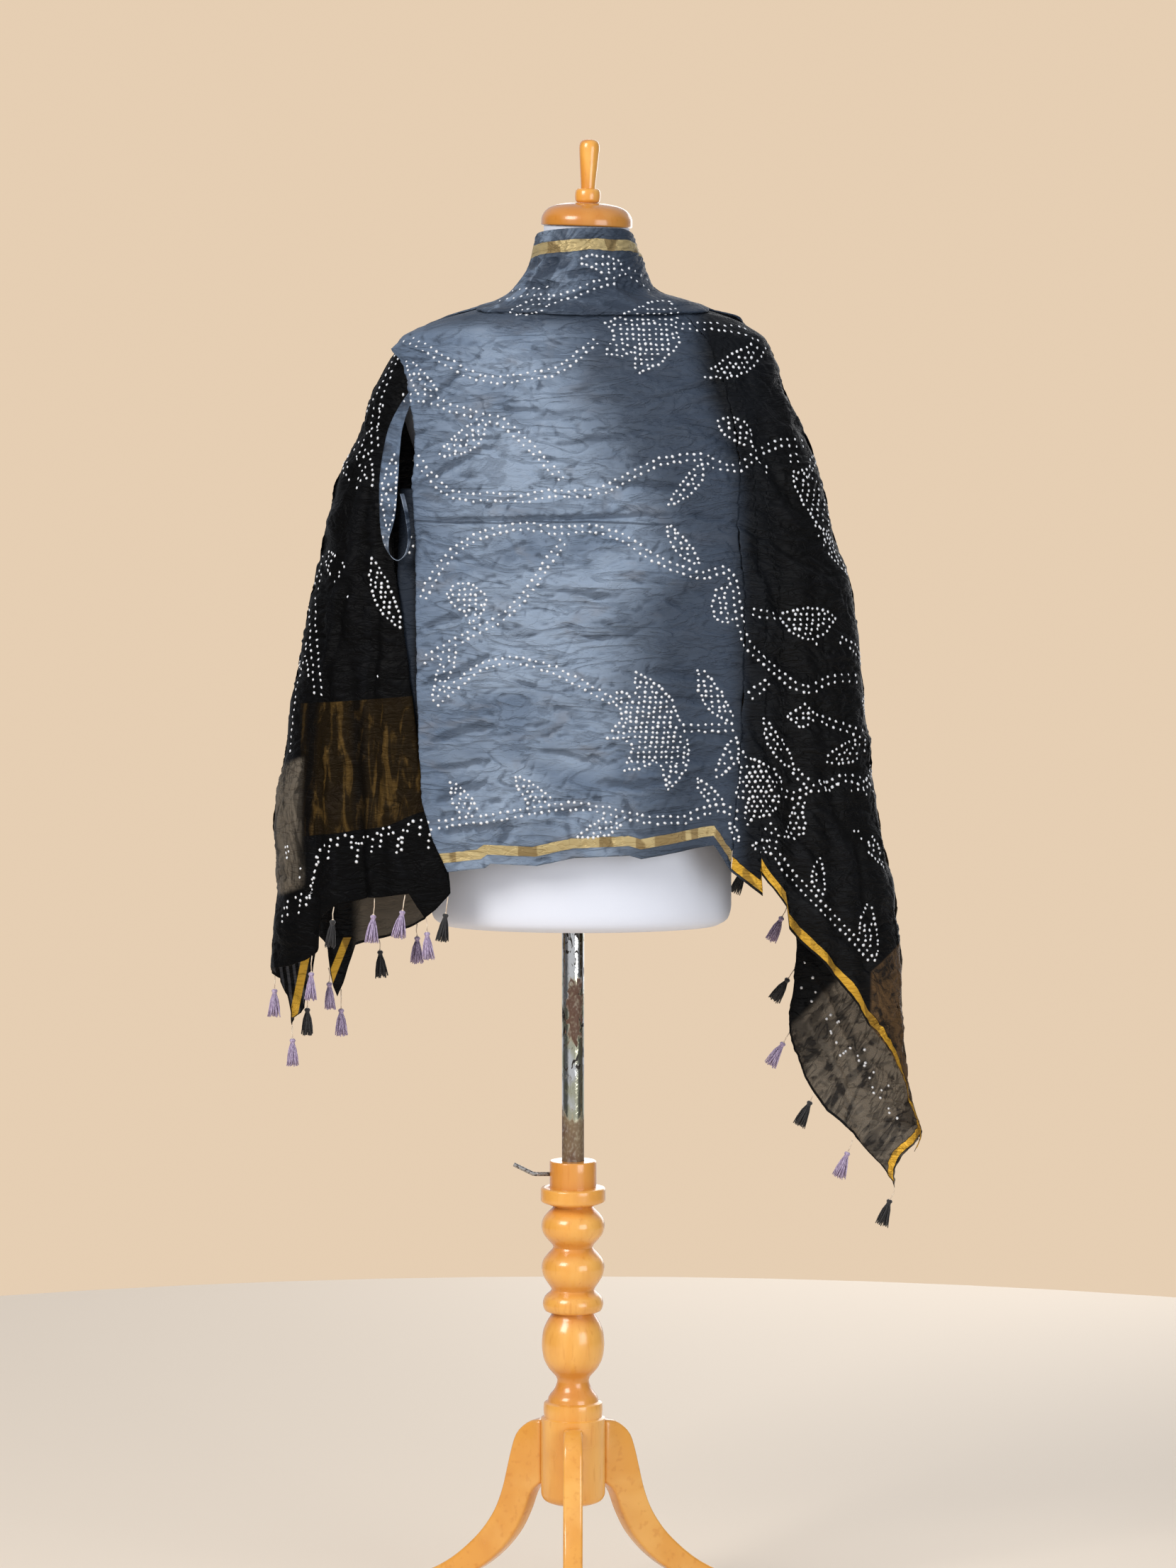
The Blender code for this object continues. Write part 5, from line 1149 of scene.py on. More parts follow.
def lengths(grid, axis):
    """Distance of each point along its column (axis 1) or row (axis 0), from its first one."""
    step = np.linalg.norm(np.diff(grid, axis=axis), axis=-1)
    run = np.cumsum(step, axis=axis)
    return np.insert(run, 0, 0.0, axis=axis)


def weave_shell(name, grid, facts):
    """A mesh over the grid with its facts as point attributes, thickened inward into a shell."""
    columns, rows = grid.shape[:2]
    index = np.arange(columns * rows).reshape(columns, rows)
    quads = np.stack((index[:-1, :-1], index[1:, :-1], index[1:, 1:], index[:-1, 1:]), -1)
    mesh = bpy.data.meshes.new(name)
    normal = np.cross(grid[2, 1] - grid[0, 1], grid[1, 2] - grid[1, 0])
    outward = grid[1, 1, :2] - np.array((AXIS_X + FORM_X, AXIS_Y))
    if normal[:2] @ outward < 0:
        quads = quads[..., ::-1]
    mesh.from_pydata(grid.reshape(-1, 3).tolist(), [], quads.reshape(-1, 4).tolist())
    for fact, values in facts.items():
        mesh.attributes.new(fact, "FLOAT", "POINT").data.foreach_set(
            "value", np.ascontiguousarray(values, np.float32).ravel())
    piece = bpy.data.objects.new(name, mesh)
    bpy.context.collection.objects.link(piece)
    wall = piece.modifiers.new("silk", "SOLIDIFY")
    wall.thickness, wall.offset = SILK, -1
    apply_modifiers(piece)
    bpy.ops.object.shade_smooth()
    return piece


def gold_thread(distance, low, high):
    """Share of gold between two distances, and of the dark lines that edge it."""
    gold = distance.between(low, high, 0.0004)
    edge = distance.between(low - 0.0012, high + 0.0012, 0.0003) * (1 - gold)
    return gold, edge


GREY_LIGHT = (0.246, 0.308, 0.400, 1)
GREY = (0.105, 0.144, 0.208, 1)
GREY_DARK = (0.033, 0.045, 0.067, 1)
GREY_WARM = (0.185, 0.195, 0.222, 1)
SILK_BLACK = (0.0022, 0.0022, 0.0024, 1)
SILK_RIDGE_HIGHLIGHT = (0.0038, 0.0040, 0.0048, 1)
SILK_SHEER = (0.120, 0.101, 0.078, 1)
SHEER_RIDGE_HIGHLIGHT = (0.150, 0.130, 0.104, 1)
SHEER_SHADE = (0.014, 0.012, 0.011, 1)
ZARI_BROWN = (0.0125, 0.0078, 0.0030, 1)
ZARI_RIB_SHEEN = (0.074, 0.043, 0.012, 1)
ZARI_SHADE = (0.010, 0.006, 0.003, 1)
ZARI_SHEER = (0.130, 0.075, 0.034, 1)
GOLD_ON_GREY = (0.45, 0.35, 0.17, 1)
GOLD_ON_BLACK = (0.62, 0.35, 0.040, 1)
GOLD_SHADE = (0.12, 0.065, 0.018, 1)


class Silk(Paint):
    """Crushed silk: weave and fine crinkles in the relief, clouds in the dye, a soft sheen."""

    def __init__(self, name):
        super().__init__(name)
        self.cloud = self.noise((1, 1, 1.7), 8.0, 4.0, 0.5)
        self.crinkle = self.noise((12, 12, 44), 1.0, 4.0, 1.2)
        self.fold = (self.crinkle - 0.5).size().rise(0.0, 0.060)
        finer = (self.noise((34, 34, 105), 1.0, 3.0, 1.0) - 0.5).size().rise(0.0, 0.075)
        self.slub = self.noise((20, 20, 900), 1.0, 2.0)
        self.bump(self.fold * 0.65 + finer * 0.35, 0.0011)
        self.bump(self.slub, 0.00022)
        self.sunk = self.attribute("sunk")

    def attribute(self, name):
        """What the mesh holds under that name at each point."""
        node = self.node("ShaderNodeAttribute", {"attribute_name": name}, {})
        return Reading(self, node.outputs["Fac"])

    def black(self):
        """Black ground with a faint painted highlight on the ridges of its crinkles."""
        ridge_sheen = (1 - self.sunk.rise(-0.7, 0.2)) * 0.7
        return self.mix(ridge_sheen, SILK_BLACK, SILK_RIDGE_HIGHLIGHT)

    def grey(self):
        """Blue-grey ground, paler in the middle, clouding to near black toward the right, with painted shade in
        its creases and a painted highlight on its ridges.
        """
        middle = (1 - (self.x + 0.01).size().rise(0.05, 0.19)) * self.cloud.rise(0.28, 0.60)
        colour = self.mix(middle, GREY, GREY_LIGHT)
        warm = self.noise((1, 1, 2.2), 17.0, 3.0, 0.4).rise(0.55, 0.70)
        colour = self.mix(warm * 0.45, colour, GREY_WARM)
        shadow = self.noise((1, 1, 3.4), 10.0, 4.0, 0.8).rise(0.50, 0.78)
        colour = self.mix(shadow * 0.34, colour, GREY_DARK)
        # Painted shade in the crease troughs and along the crinkle lines, painted highlight on the ridges
        colour = self.mix(self.sunk.rise(0.18, 1.5) * 0.62, colour, GREY_DARK)
        colour = self.mix((1 - self.sunk.rise(-1.0, -0.15)) * 0.28, colour, GREY_LIGHT)
        colour = self.mix((1 - self.fold) * 0.34, colour, GREY_DARK)
        higher = self.z.rise(1.28, 1.46)
        edge = self.x + (self.cloud - 0.5) * 0.13 + higher * 0.070
        edge = edge - self.z.between(1.18, 1.29, 0.03) * 0.045
        colour = self.mix(edge.rise(0.010, 0.118) * 0.90, colour, GREY_DARK)
        return self.mix((self.x + higher * 0.045).rise(0.165, 0.200) * 0.94, colour, SILK_BLACK)

    def border(self, colour, gold, edge, tone):
        """Gold selvedge band with painted shade where its folds turn away, between thin dark lines."""
        turning = self.noise((36, 36, 8), 1.0, 2.0, 0.3).rise(0.54, 0.58)
        colour = self.mix(edge * 0.8, colour, SILK_BLACK)
        band = self.mix(turning * 0.62, tone, GOLD_SHADE)
        return self.mix(gold, colour, band)

    def zari(self, colour, block):
        """Brown-gold metal thread woven in a block, ribbed along the warp, with painted sheen on the ribs and
        painted shade between them.
        """
        rib = self.noise((62, 62, 15), 1.0, 4.0, 1.4)
        brocade = self.mix(rib.rise(0.50, 0.68), ZARI_BROWN, ZARI_RIB_SHEEN)
        brocade = self.mix((1 - rib.rise(0.32, 0.45)) * 0.7, brocade, ZARI_SHADE)
        return self.mix(block, colour, brocade)

    def creased(self, lean, pitch=46):
        """Painted shade: dark lines along the folds and in the crease troughs, most of them leaning one way."""
        fine = (self.streaks(lean, (75, 75, 22), 1.2) - 0.5).size().rise(0.0, 0.060)
        wide = self.streaks(lean, (pitch, pitch, pitch * 0.22)).rise(0.52, 0.60)
        sunk = self.sunk.rise(0.15, 0.9)
        return ((1 - fine) * 0.55 + wide * 0.60 + sunk * 0.40).math("MINIMUM", 0.94)

    def finish(self, colour, metal=0.0, alpha=1.0, gloss=0.44, shine=0.16):
        """The finished silk: its colour, share of metal thread, thinness, gloss and shine."""
        self.shader.inputs["Sheen Weight"].default_value = shine * 0.09
        self.shader.inputs["Sheen Roughness"].default_value = 0.35
        self.shader.inputs["Specular IOR Level"].default_value = shine
        return self.set(Base_Color=colour, Metallic=metal, Alpha=alpha,
                        Roughness=gloss + self.crinkle * 0.14)


def cut_of(grid):
    """Width and length of the rectangle that the stretch is cut from, and the stretch's area."""
    side, up = grid[1:, :-1] - grid[:-1, :-1], grid[:-1, 1:] - grid[:-1, :-1]
    area = float(np.linalg.norm(np.cross(side, up), axis=-1).sum())
    long = float(np.median(lengths(grid, 0)[-1]))
    wide = float(lengths(grid, 1)[:, -1].max())
    return (wide, long), min(area, wide * long)


def hang_silk(name, dye):
    """One stretch of the stole: its shell, its dye and its place in the frame."""
    grid, sunk = stretch_grid(name)
    # The material reads the distances from three of the edges, and the creases' depth in millimetres, which places
    # its painted shade and highlights
    piece = weave_shell(name + "_looks", grid, {
        "hem": lengths(grid[:, ::-1], 1)[:, ::-1], "top": lengths(grid, 1),
        "end": lengths(grid[::-1], 0)[::-1], "sunk": sunk * 1000})
    piece.data.materials.append(dye())
    flat, area = cut_of(grid)
    stand_for(piece, "form", STRETCHES[name].slot, name)
    return piece


# Back panel
# The middle of the stole, hung from both shoulders down the back, with a gold band above its
# lower selvedge and a sharp crease across it from being stored folded.
STORAGE_CREASE = 1.2590


def back_dye():
    silk = Silk("back_silk")
    gold, edge = gold_thread(silk.attribute("hem"), 0.011, 0.0225)
    # Painted shade along the storage crease, fading out toward the right
    crease_shade = 1 - (silk.z - STORAGE_CREASE + (silk.cloud - 0.5) * 0.012).size().rise(0.0004, 0.0020)
    ground = silk.mix(crease_shade * (1 - silk.x.rise(0.11, 0.15)) * 0.75, silk.grey(), GREY_DARK)
    # Painted shadow under the neck wrap's fold
    ground = silk.mix(silk.z.rise(1.462, 1.487) * 0.85, ground, GREY_DARK)
    colour = silk.border(ground, gold, edge * 0.3, GOLD_ON_GREY)
    return silk.finish(colour, metal=gold * 0.35)


back_panel = hang_silk("back_panel", back_dye)


# Right drape
# The stole goes on round the right side, where its dye turns black; its lower selvedge with the
# gold band falls steeply to the low corner, and a sheer brown piece shows beside it.
def right_dye():
    silk = Silk("right_silk")
    ground = silk.mix(silk.x.rise(0.190, 0.245), silk.grey(), silk.black())
    corner = silk.x.rise(0.333, 0.338) * (1 - (silk.z - silk.x * 0.82).rise(0.475, 0.479))
    ground = silk.mix(corner * 0.9, ground, ZARI_SHEER)
    # Painted shade in the creases of the brown sheer corner
    ground = silk.mix(corner * silk.creased(0.5), ground, SHEER_SHADE)
    gold, edge = gold_thread(silk.attribute("hem"), 0.0040, 0.0175)
    colour = silk.border(ground, gold, edge, GOLD_ON_BLACK)
    return silk.finish(colour, metal=gold * 0.5 + corner * 0.3, shine=0.11)


right_drape = hang_silk("right_drape", right_dye)


# Right end
# The last of the right half comes back across the open front. Inside the low corner its sheer
# reverse shows; outside it has a woven gold-brown block before the tasselled edge.
def right_end_dye():
    silk = Silk("right_end_silk")
    end = silk.attribute("end")
    sheer = 1 - (silk.z - silk.x * 1.04).rise(0.405, 0.420)
    block = end.between(0.080, 0.225, 0.002) * (1 - sheer)
    ground = silk.mix(sheer * 0.9, silk.black(), SILK_SHEER)
    # Painted shade in the creases of the sheer reverse, painted highlight on its ridges
    creased = sheer * silk.creased(-0.6)
    ground = silk.mix(creased, ground, SHEER_SHADE)
    ridge_lit = (1 - silk.sunk.rise(-0.9, -0.1)) * 0.45
    ground = silk.mix(sheer * ridge_lit, ground, SHEER_RIDGE_HIGHLIGHT)
    gold, edge = gold_thread(silk.attribute("hem"), 0.0045, 0.0170)
    rolled = end.between(-0.001, 0.0030, 0.0005)
    colour = silk.border(silk.zari(ground, block), gold, edge, GOLD_ON_BLACK)
    colour = silk.mix(rolled, colour, SILK_BLACK)
    opaque = (gold + edge + rolled + (1 - sheer)).math("MINIMUM", 1.0)
    alpha = (0.74 + opaque * 0.26 + creased * 0.24).math("MINIMUM", 1.0)
    return silk.finish(colour, metal=gold * 0.5 + block * 0.3, alpha=alpha, shine=0.11)


right_end = hang_silk("right_end", right_end_dye)


# Left end, outer layer
# The left half hangs from the shoulder with its length upright: black silk with dots, a woven
# block of brown-gold thread, a dotted zigzag, and a plain hem that carries tassels.
def left_dye():
    silk = Silk("left_silk")
    low = (silk.z - silk.x * 0.16 - silk.x.rise(-0.215, -0.165) * 0.011).rise(0.9530, 0.9542)
    high = 1 - (silk.z - silk.x * 0.105).rise(1.0842, 1.0854)
    block = low * high * silk.x.rise(-0.307, -0.298)
    fold = 1 - (silk.x + 0.237 + (silk.z - 0.98) * 0.04).size().rise(0.002, 0.013)
    second = 1 - (silk.x + 0.295 - (silk.z - 0.98) * 0.05).size().rise(0.002, 0.011)
    thin = (1 - silk.x.rise(-0.305, -0.298)) * (silk.z - silk.x * 0.45).between(0.985, 1.129, 0.004)
    colour = silk.zari(silk.black(), block)
    # Painted shade breaks the sheer stripe along its creases, and darkens two folds down the woven block
    colour = silk.mix(thin * (1 - silk.creased(0.1) * 0.8), colour, SILK_SHEER)
    fold_shade = (fold * 0.8 + second).math("MINIMUM", 1.0) * silk.z.rise(0.84, 0.90) * 0.85
    colour = silk.mix(fold_shade * (1 - silk.z.rise(1.06, 1.09)), colour, SILK_BLACK)
    return silk.finish(colour, metal=block * 0.25, gloss=0.42, shine=0.045)


left_end_outer = hang_silk("left_end_outer", left_dye)


# Left end, front layer
# The rest of the left end goes round the silhouette to the front. Below the outer hem its sheer
# reverse and two long tongues with gold edges show.
STRIPE_GREY = (0.10, 0.10, 0.11, 1)
# Gold edges of the tongues, as (x, height, lean, lowest, highest)
TONGUE_EDGES = [(-0.2690, 0.750, 0.40, 0.722, 0.775), (-0.3115, 0.725, 0.20, 0.690, 0.762)]


def left_front_dye():
    silk = Silk("left_front_silk")
    reverse = (1 - silk.z.rise(0.835, 0.842)) * silk.x.rise(-0.256, -0.240)
    stripes = ((silk.x + silk.z * 0.12) * 900).math("SINE").rise(0.0, 0.4)
    tongue = (1 - silk.z.rise(0.752, 0.764)) * (1 - silk.x.rise(-0.306, -0.300))
    scallop = 1 - silk.attribute("hem").rise(0.002, 0.004)
    colour = silk.mix(reverse * 0.85, silk.black(), SILK_SHEER)
    colour = silk.mix(tongue * stripes * 0.5, colour, STRIPE_GREY)
    block = silk.z.between(0.905, 1.050, 0.002)
    colour = silk.zari(colour, block)
    for x, z, lean, low, high in TONGUE_EDGES:
        stroke = (silk.x - x - (silk.z - z) * lean).size()
        gold = (1 - stroke.rise(0.0040, 0.0050)) * silk.z.between(low, high, 0.001)
        colour = silk.border(colour, gold, 0.0, GOLD_ON_BLACK)
    colour = silk.mix(scallop, colour, SILK_BLACK)
    return silk.finish(colour, metal=block * 0.3, alpha=1 - reverse * (1 - scallop) * 0.15, shine=0.09)


left_end_front = hang_silk("left_end_front", left_front_dye)


# Left return and fold strip
# Between the back panel and the hanging end the silk is folded away: a dark layer behind, and in
# front of it a narrow band that comes down from the shoulder and turns up in a loop.
def return_dye():
    silk = Silk("return_silk")
    blue = silk.x.rise(-0.205, -0.185) * (1 - silk.x.rise(-0.180, -0.170))
    colour = silk.mix(blue * 0.5, silk.black(), GREY_DARK)
    return silk.finish(colour, shine=0.08)


left_return = hang_silk("left_return", return_dye)

RIM_HIGHLIGHT = (0.45, 0.50, 0.58, 1)
BandPoint = namedtuple("BandPoint", "x z out half_width facing")
FOLD_STRIP = [
    BandPoint(-0.1750, 1.4040, -0.0027, 0.0060, -29), BandPoint(-0.1870, 1.3860, -0.0036, 0.0070, -31),
    BandPoint(-0.1985, 1.3550, 0.0010, 0.0095, -30), BandPoint(-0.2040, 1.3050, 0.0070, 0.0120, -30),
    BandPoint(-0.2055, 1.2650, 0.0110, 0.0110, -38), BandPoint(-0.2075, 1.2400, 0.0125, 0.0085, -62),
    BandPoint(-0.2035, 1.2240, 0.0130, 0.0080, -84), BandPoint(-0.1935, 1.2165, 0.0110, 0.0080, -92),
    BandPoint(-0.1838, 1.2245, 0.0090, 0.0080, -96), BandPoint(-0.1802, 1.2420, 0.0080, 0.0075, -100),
    BandPoint(-0.1830, 1.2660, 0.0080, 0.0065, -105), BandPoint(-0.1885, 1.2900, 0.0060, 0.0055, -110),
]


def strip_grid():
    """Face of the band on a fine grid: along it, and from one edge to the other."""
    along, across = np.meshgrid(np.linspace(0, 1, 150), np.linspace(-1, 1, 13), indexing="ij")
    keys = np.linspace(0, 1, len(FOLD_STRIP))
    x, z, out, half, facing = (
        smooth_curve(keys, [row[k] for row in FOLD_STRIP], along) for k in range(5))
    left, _, back, _ = half_sizes(DRAPE, z)
    y = -(back + out) * np.sqrt(1 - ((x - FORM_X) / (left + out)) ** 2)
    facing = np.radians(facing)
    pucker = 0.0007 * waves(
        across * 0.012, along * 0.35, seed=31, count=7, long_wave=0.02, short_wave=0.014)
    x, y = x + half * across * np.cos(facing), y + half * across * np.sin(facing) - pucker
    return np.stack((x + AXIS_X, y + AXIS_Y, z), -1)


strip_points = strip_grid()
fold_strip = weave_shell("left_fold_strip_looks", strip_points,
                         {"end": lengths(strip_points, 0),
                          "sunk": np.zeros(strip_points.shape[:2])})
silk = Silk("strip_silk")
# Painted highlight along the rim of the loop
highlit_rim = silk.attribute("end").rise(0.165, 0.185) * silk.crinkle.rise(0.40, 0.60)
strip_grey = silk.mix(silk.crinkle.rise(0.35, 0.6), GREY_DARK, GREY)
fold_strip.data.materials.append(silk.finish(silk.mix(highlit_rim * 0.5, strip_grey, RIM_HIGHLIGHT)))
stand_for(fold_strip, "form", "stole_grey", "left_fold_strip")


# Neck wrap
# The upper selvedge turned over like a shawl collar, with its gold band under the neck's top
# and a soft fold that casts a shadow on the back panel, deepened there by painted shadow.
def neck_dye():
    silk = Silk("neck_silk")
    gold, edge = gold_thread(silk.attribute("top"), 0.013, 0.0265)
    ground = silk.mix((silk.x * 0.6 + silk.y * 1.4).rise(0.02, 0.09), silk.grey(), silk.black())
    shade = (1 - silk.attribute("hem").rise(0.0, 0.020)) * 0.6
    # Painted shade in the creases, along diagonal folds and toward the right
    ground = silk.mix(silk.creased(-0.75, 80) * 0.80, silk.mix(shade, ground, GREY_DARK), GREY_DARK)
    folds = silk.streaks(-0.55, (34, 34, 7)).rise(0.50, 0.56)
    ground = silk.mix(folds * 0.62 + silk.x.rise(0.02, 0.12) * 0.38, ground, GREY_DARK)
    colour = silk.border(ground, gold, edge * 0.3, GOLD_ON_GREY)
    return silk.finish(colour, metal=gold * 0.35)


neck_wrap = hang_silk("neck_wrap", neck_dye)

# Tied dots
# Each dot was pinched and bound before dyeing, so it stays white and stands up as a tiny
# pucker. They run in double lines along vines, and fill leaves and flowers.
DOT_RADIUS, DOT_SIDES = 0.0019, 6
DOT_RISE, DOT_LIFT, DOT_ROOT = 0.0008, 0.00008, 0.0004
DOT_JITTER = 0.00055
ROW_PITCH = 0.0078
ROW_APART = 0.0074
FILL_PITCH = 0.0064
OUTLINE_PITCH = 0.0058
ZIGZAG_PITCH = 0.0086
CLOSEST = 0.0047
STEEPEST_BACK, STEEPEST_SIDE, STEEPEST_FRONT = 0.20, 0.72, 0.40
BLOCK_LOW, BLOCK_HIGH = 0.86, 1.07
TIE_WHITE, TIE_BRIGHT = (0.80, 0.83, 0.88, 1), (0.92, 0.92, 0.93, 1)
SILKS = [back_panel, right_drape, right_end, left_end_outer, left_end_front, left_return, fold_strip,
         neck_wrap]

dot_chance = np.random.default_rng(5)


def vine_dots(points):
    """Two rows of dots, one on each side of the vine's line."""
    points = np.asarray(points, float)
    line = spread(points, 80) if len(points) > 2 else np.linspace(points[0], points[1], 20)
    along = np.gradient(line, axis=0)
    side = np.stack((-along[:, 1], along[:, 0]), 1) / np.linalg.norm(along, axis=1)[:, None]
    dots = []
    for shift in (-ROW_APART / 2, ROW_APART / 2):
        row = line + side * shift
        dots += list(points_at(row, np.arange(ROW_PITCH / 2, run_along(row)[-1], ROW_PITCH)))
    return dots


def filled_dots(outline):
    """Dots along a closed outline, and in slanting rows inside it."""
    outline = np.asarray(outline, float)
    girth = run_along(outline)[-1]
    at = np.linspace(0, girth, max(int(girth / OUTLINE_PITCH), 4), endpoint=False)
    dots = list(points_at(outline, at))
    low, high = outline.min(axis=0), outline.max(axis=0)
    slant = 0.5 + 0.6 * math.sin(low[0] * 700)
    for row, v in enumerate(np.arange(low[1], high[1], FILL_PITCH * 0.88)):
        for u in np.arange(low[0] - 0.02, high[0] + 0.02, FILL_PITCH):
            spot = np.array((u + (row * slant % 1) * FILL_PITCH, v))
            edges = zip(outline[:-1], outline[1:])
            if sum((a[1] > v) != (b[1] > v)
                   and spot[0] < a[0] + (v - a[1]) / (b[1] - a[1]) * (b[0] - a[0])
                   for a, b in edges) % 2:
                dots.append(spot)
    return dots


# The dotted zigzag of the left end, and the few dots on the rim of the looped band
ZIGZAG = [(-0.3282, 0.810), (-0.3260, 0.819), (-0.3208, 0.827), (-0.3117, 0.831), (-0.3060, 0.835),
          (-0.3001, 0.828), (-0.2964, 0.839), (-0.2945, 0.851), (-0.2913, 0.865), (-0.2895, 0.878),
          (-0.2868, 0.883), (-0.2794, 0.892), (-0.2728, 0.897), (-0.2636, 0.898), (-0.2563, 0.901),
          (-0.2491, 0.900), (-0.2436, 0.888), (-0.2354, 0.902), (-0.2269, 0.894), (-0.2210, 0.904),
          (-0.2102, 0.911), (-0.2052, 0.909), (-0.1996, 0.899), (-0.1954, 0.893), (-0.1915, 0.906),
          (-0.1836, 0.917), (-0.1756, 0.916), (-0.1685, 0.918), (-0.1629, 0.915), (-0.1597, 0.907)]
RIM_DOTS = [(-0.2131, 1.238), (-0.2065, 1.237), (-0.1826, 1.238), (-0.1800, 1.228), (-0.1846, 1.220),
            (-0.2110, 1.228)]


def zigzag_dots():
    """The dotted zigzag under the left end's woven block, with short tails under its peaks."""
    route = np.array(ZIGZAG)
    row = points_at(route, np.arange(0, run_along(route)[-1], ZIGZAG_PITCH))
    dots = list(row)
    for k, spot in enumerate(row):
        dots += [spot - (0.0010 * step, 0.0070 * step) for step in range(1, (2, 1, 3, 1, 4)[k % 5])]
    return dots


def scattered_dots():
    """The few dots that show through the sheer reverse in the low right corner."""
    line = spread(np.array([(0.292, 0.700), (0.300, 0.664), (0.330, 0.650), (0.347, 0.620),
                            (0.362, 0.585)]), 26)
    sides = dot_chance.normal(0, 0.006, line.shape)
    strays = [(0.262, 0.756), (0.272, 0.738), (0.276, 0.722), (0.258, 0.728), (0.270, 0.712)]
    return list(line + sides) + [np.array(s) for s in strays]


trees = [(piece, BVHTree.FromPolygons([v.co for v in piece.data.vertices],
                                      [tuple(p.vertices) for p in piece.data.polygons]))
         for piece in SILKS]


def first_silk(start, heading):
    """The stretch that a line of sight meets first, and where."""
    best = None
    for piece, tree in trees:
        spot, normal, _, distance = tree.ray_cast(start, heading)
        if spot is not None and (best is None or distance < best[3]):
            best = (piece, spot, normal, distance, tree)
    return best


def sight(view, across, up):
    """Start and heading of the line of sight to a point of the stand's plane."""
    turn = Matrix.Rotation(math.radians(view), 3, "Z")
    start = turn @ Vector((EYE_X, -EYE_DISTANCE, EYE_HEIGHT))
    target = turn @ Vector((across, 0, up))
    middle = Vector((AXIS_X, AXIS_Y, 0))
    return start + middle, (target - start).normalized()


def bind_dots(view, spots, steepest):
    """Dots where the lines of sight meet the silk, skipping what is too steep to the view."""
    for across, up in spots:
        jitter = dot_chance.normal(0, DOT_JITTER, 2)
        start, heading = sight(view, across + jitter[0], up + jitter[1])
        hit = first_silk(start, heading)
        if hit is None or -hit[2].dot(heading) < steepest:
            continue
        piece, spot, normal, _, tree = hit
        side = normal.orthogonal().normalized()
        other = normal.cross(side)
        turn = dot_chance.uniform(0, 2 * math.pi)
        radius = DOT_RADIUS * dot_chance.uniform(0.82, 1.15)
        ring = []
        for k in range(DOT_SIDES):
            angle = turn + 2 * math.pi * k / DOT_SIDES
            corner = spot + (side * math.cos(angle) + other * math.sin(angle)) * radius
            found = tree.find_nearest(corner + normal * 0.0006, 0.004)
            base = found[0] if found[0] is not None else corner
            ring.append(base + normal * DOT_LIFT)
        dots_of.setdefault(piece.name, []).append(
            (spot + normal * DOT_RISE, ring, spot - normal * DOT_ROOT))


def pattern(vines, outlines):
    """All the dots of a set of vines and filled shapes, none too near another."""
    spots = [dot for vine in vines for dot in vine_dots(vine)]
    spots += [dot for outline in outlines for dot in filled_dots(outline)]
    kept = np.empty((0, 2))
    for spot in spots:
        if not len(kept) or np.linalg.norm(kept - spot, axis=1).min() > CLOSEST:
            kept = np.vstack((kept, spot))
    return list(kept)


dots_of = {}
back_spots = pattern(BACK_VINES, BACK_OUTLINES) + zigzag_dots() + scattered_dots() + RIM_DOTS
side_spots = pattern(SIDE_VINES, SIDE_OUTLINES)
off_block = [spot for spot in side_spots if not BLOCK_LOW < spot[1] < BLOCK_HIGH]
front_spots = [(-x, z) for x, z in pattern(FRONT_VINES, FRONT_OUTLINES)]
bind_dots(0, back_spots, STEEPEST_BACK)
bind_dots(90, side_spots, STEEPEST_SIDE)
bind_dots(-90, off_block, STEEPEST_SIDE)
bind_dots(180, front_spots, STEEPEST_FRONT)

paint = Paint("tied_white")
tie_cloud = paint.noise((1, 1, 1), 300, 2.0)
dot_white = paint.set(Base_Color=paint.mix(tie_cloud, TIE_WHITE, TIE_BRIGHT),
                      Roughness=tie_cloud * 0.2 + 0.55)
for piece_name, dots in dots_of.items():
    corners, faces = [], []
    for top, ring, foot in dots:
        first = len(corners)
        corners += [top, *ring, foot]
        for k in range(DOT_SIDES):
            a, b = first + 1 + k, first + 1 + (k + 1) % DOT_SIDES
            faces += [(first, a, b), (first + DOT_SIDES + 1, b, a)]
    mesh = bpy.data.meshes.new("dots_on_" + piece_name)
    mesh.from_pydata([tuple(c) for c in corners], [], faces)
    mesh.shade_smooth()
    mesh.materials.append(dot_white)
    bound = bpy.data.objects.new(mesh.name, mesh)
    bpy.context.collection.objects.link(bound)
    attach(bound, "form")

# Tassels
# Along both end edges: a cream cord from the hem, a wound head, and a skirt of purple or black
# floss that spreads a little at its cut ends.
SKIRT_LENGTH = 0.027
HEAD_RADIUS = 0.0034
SKIRT_RADIUS = 0.0079
HEAD_LENGTH = 0.0064
FLOSS_STRANDS = 30
STRAND_SIDES = 4
STRAND_RADII = [0.00085, 0.00105, 0.00115, 0.0007]
CORD_RADIUS = 0.0006
KNOT_RADII = [0.0006, 0.0016, 0.0009]
HEAD_PROFILE = [
    (0.0004, 0.0006), (0.0010, 0.0024), (0.0022, HEAD_RADIUS), (0.0034, HEAD_RADIUS),
    (0.0046, HEAD_RADIUS * 0.80), (0.0052, HEAD_RADIUS * 0.72), (0.0060, HEAD_RADIUS * 0.78),
    (0.0068, HEAD_RADIUS * 0.62),
]
GOLDEN_TURN = 2.399963


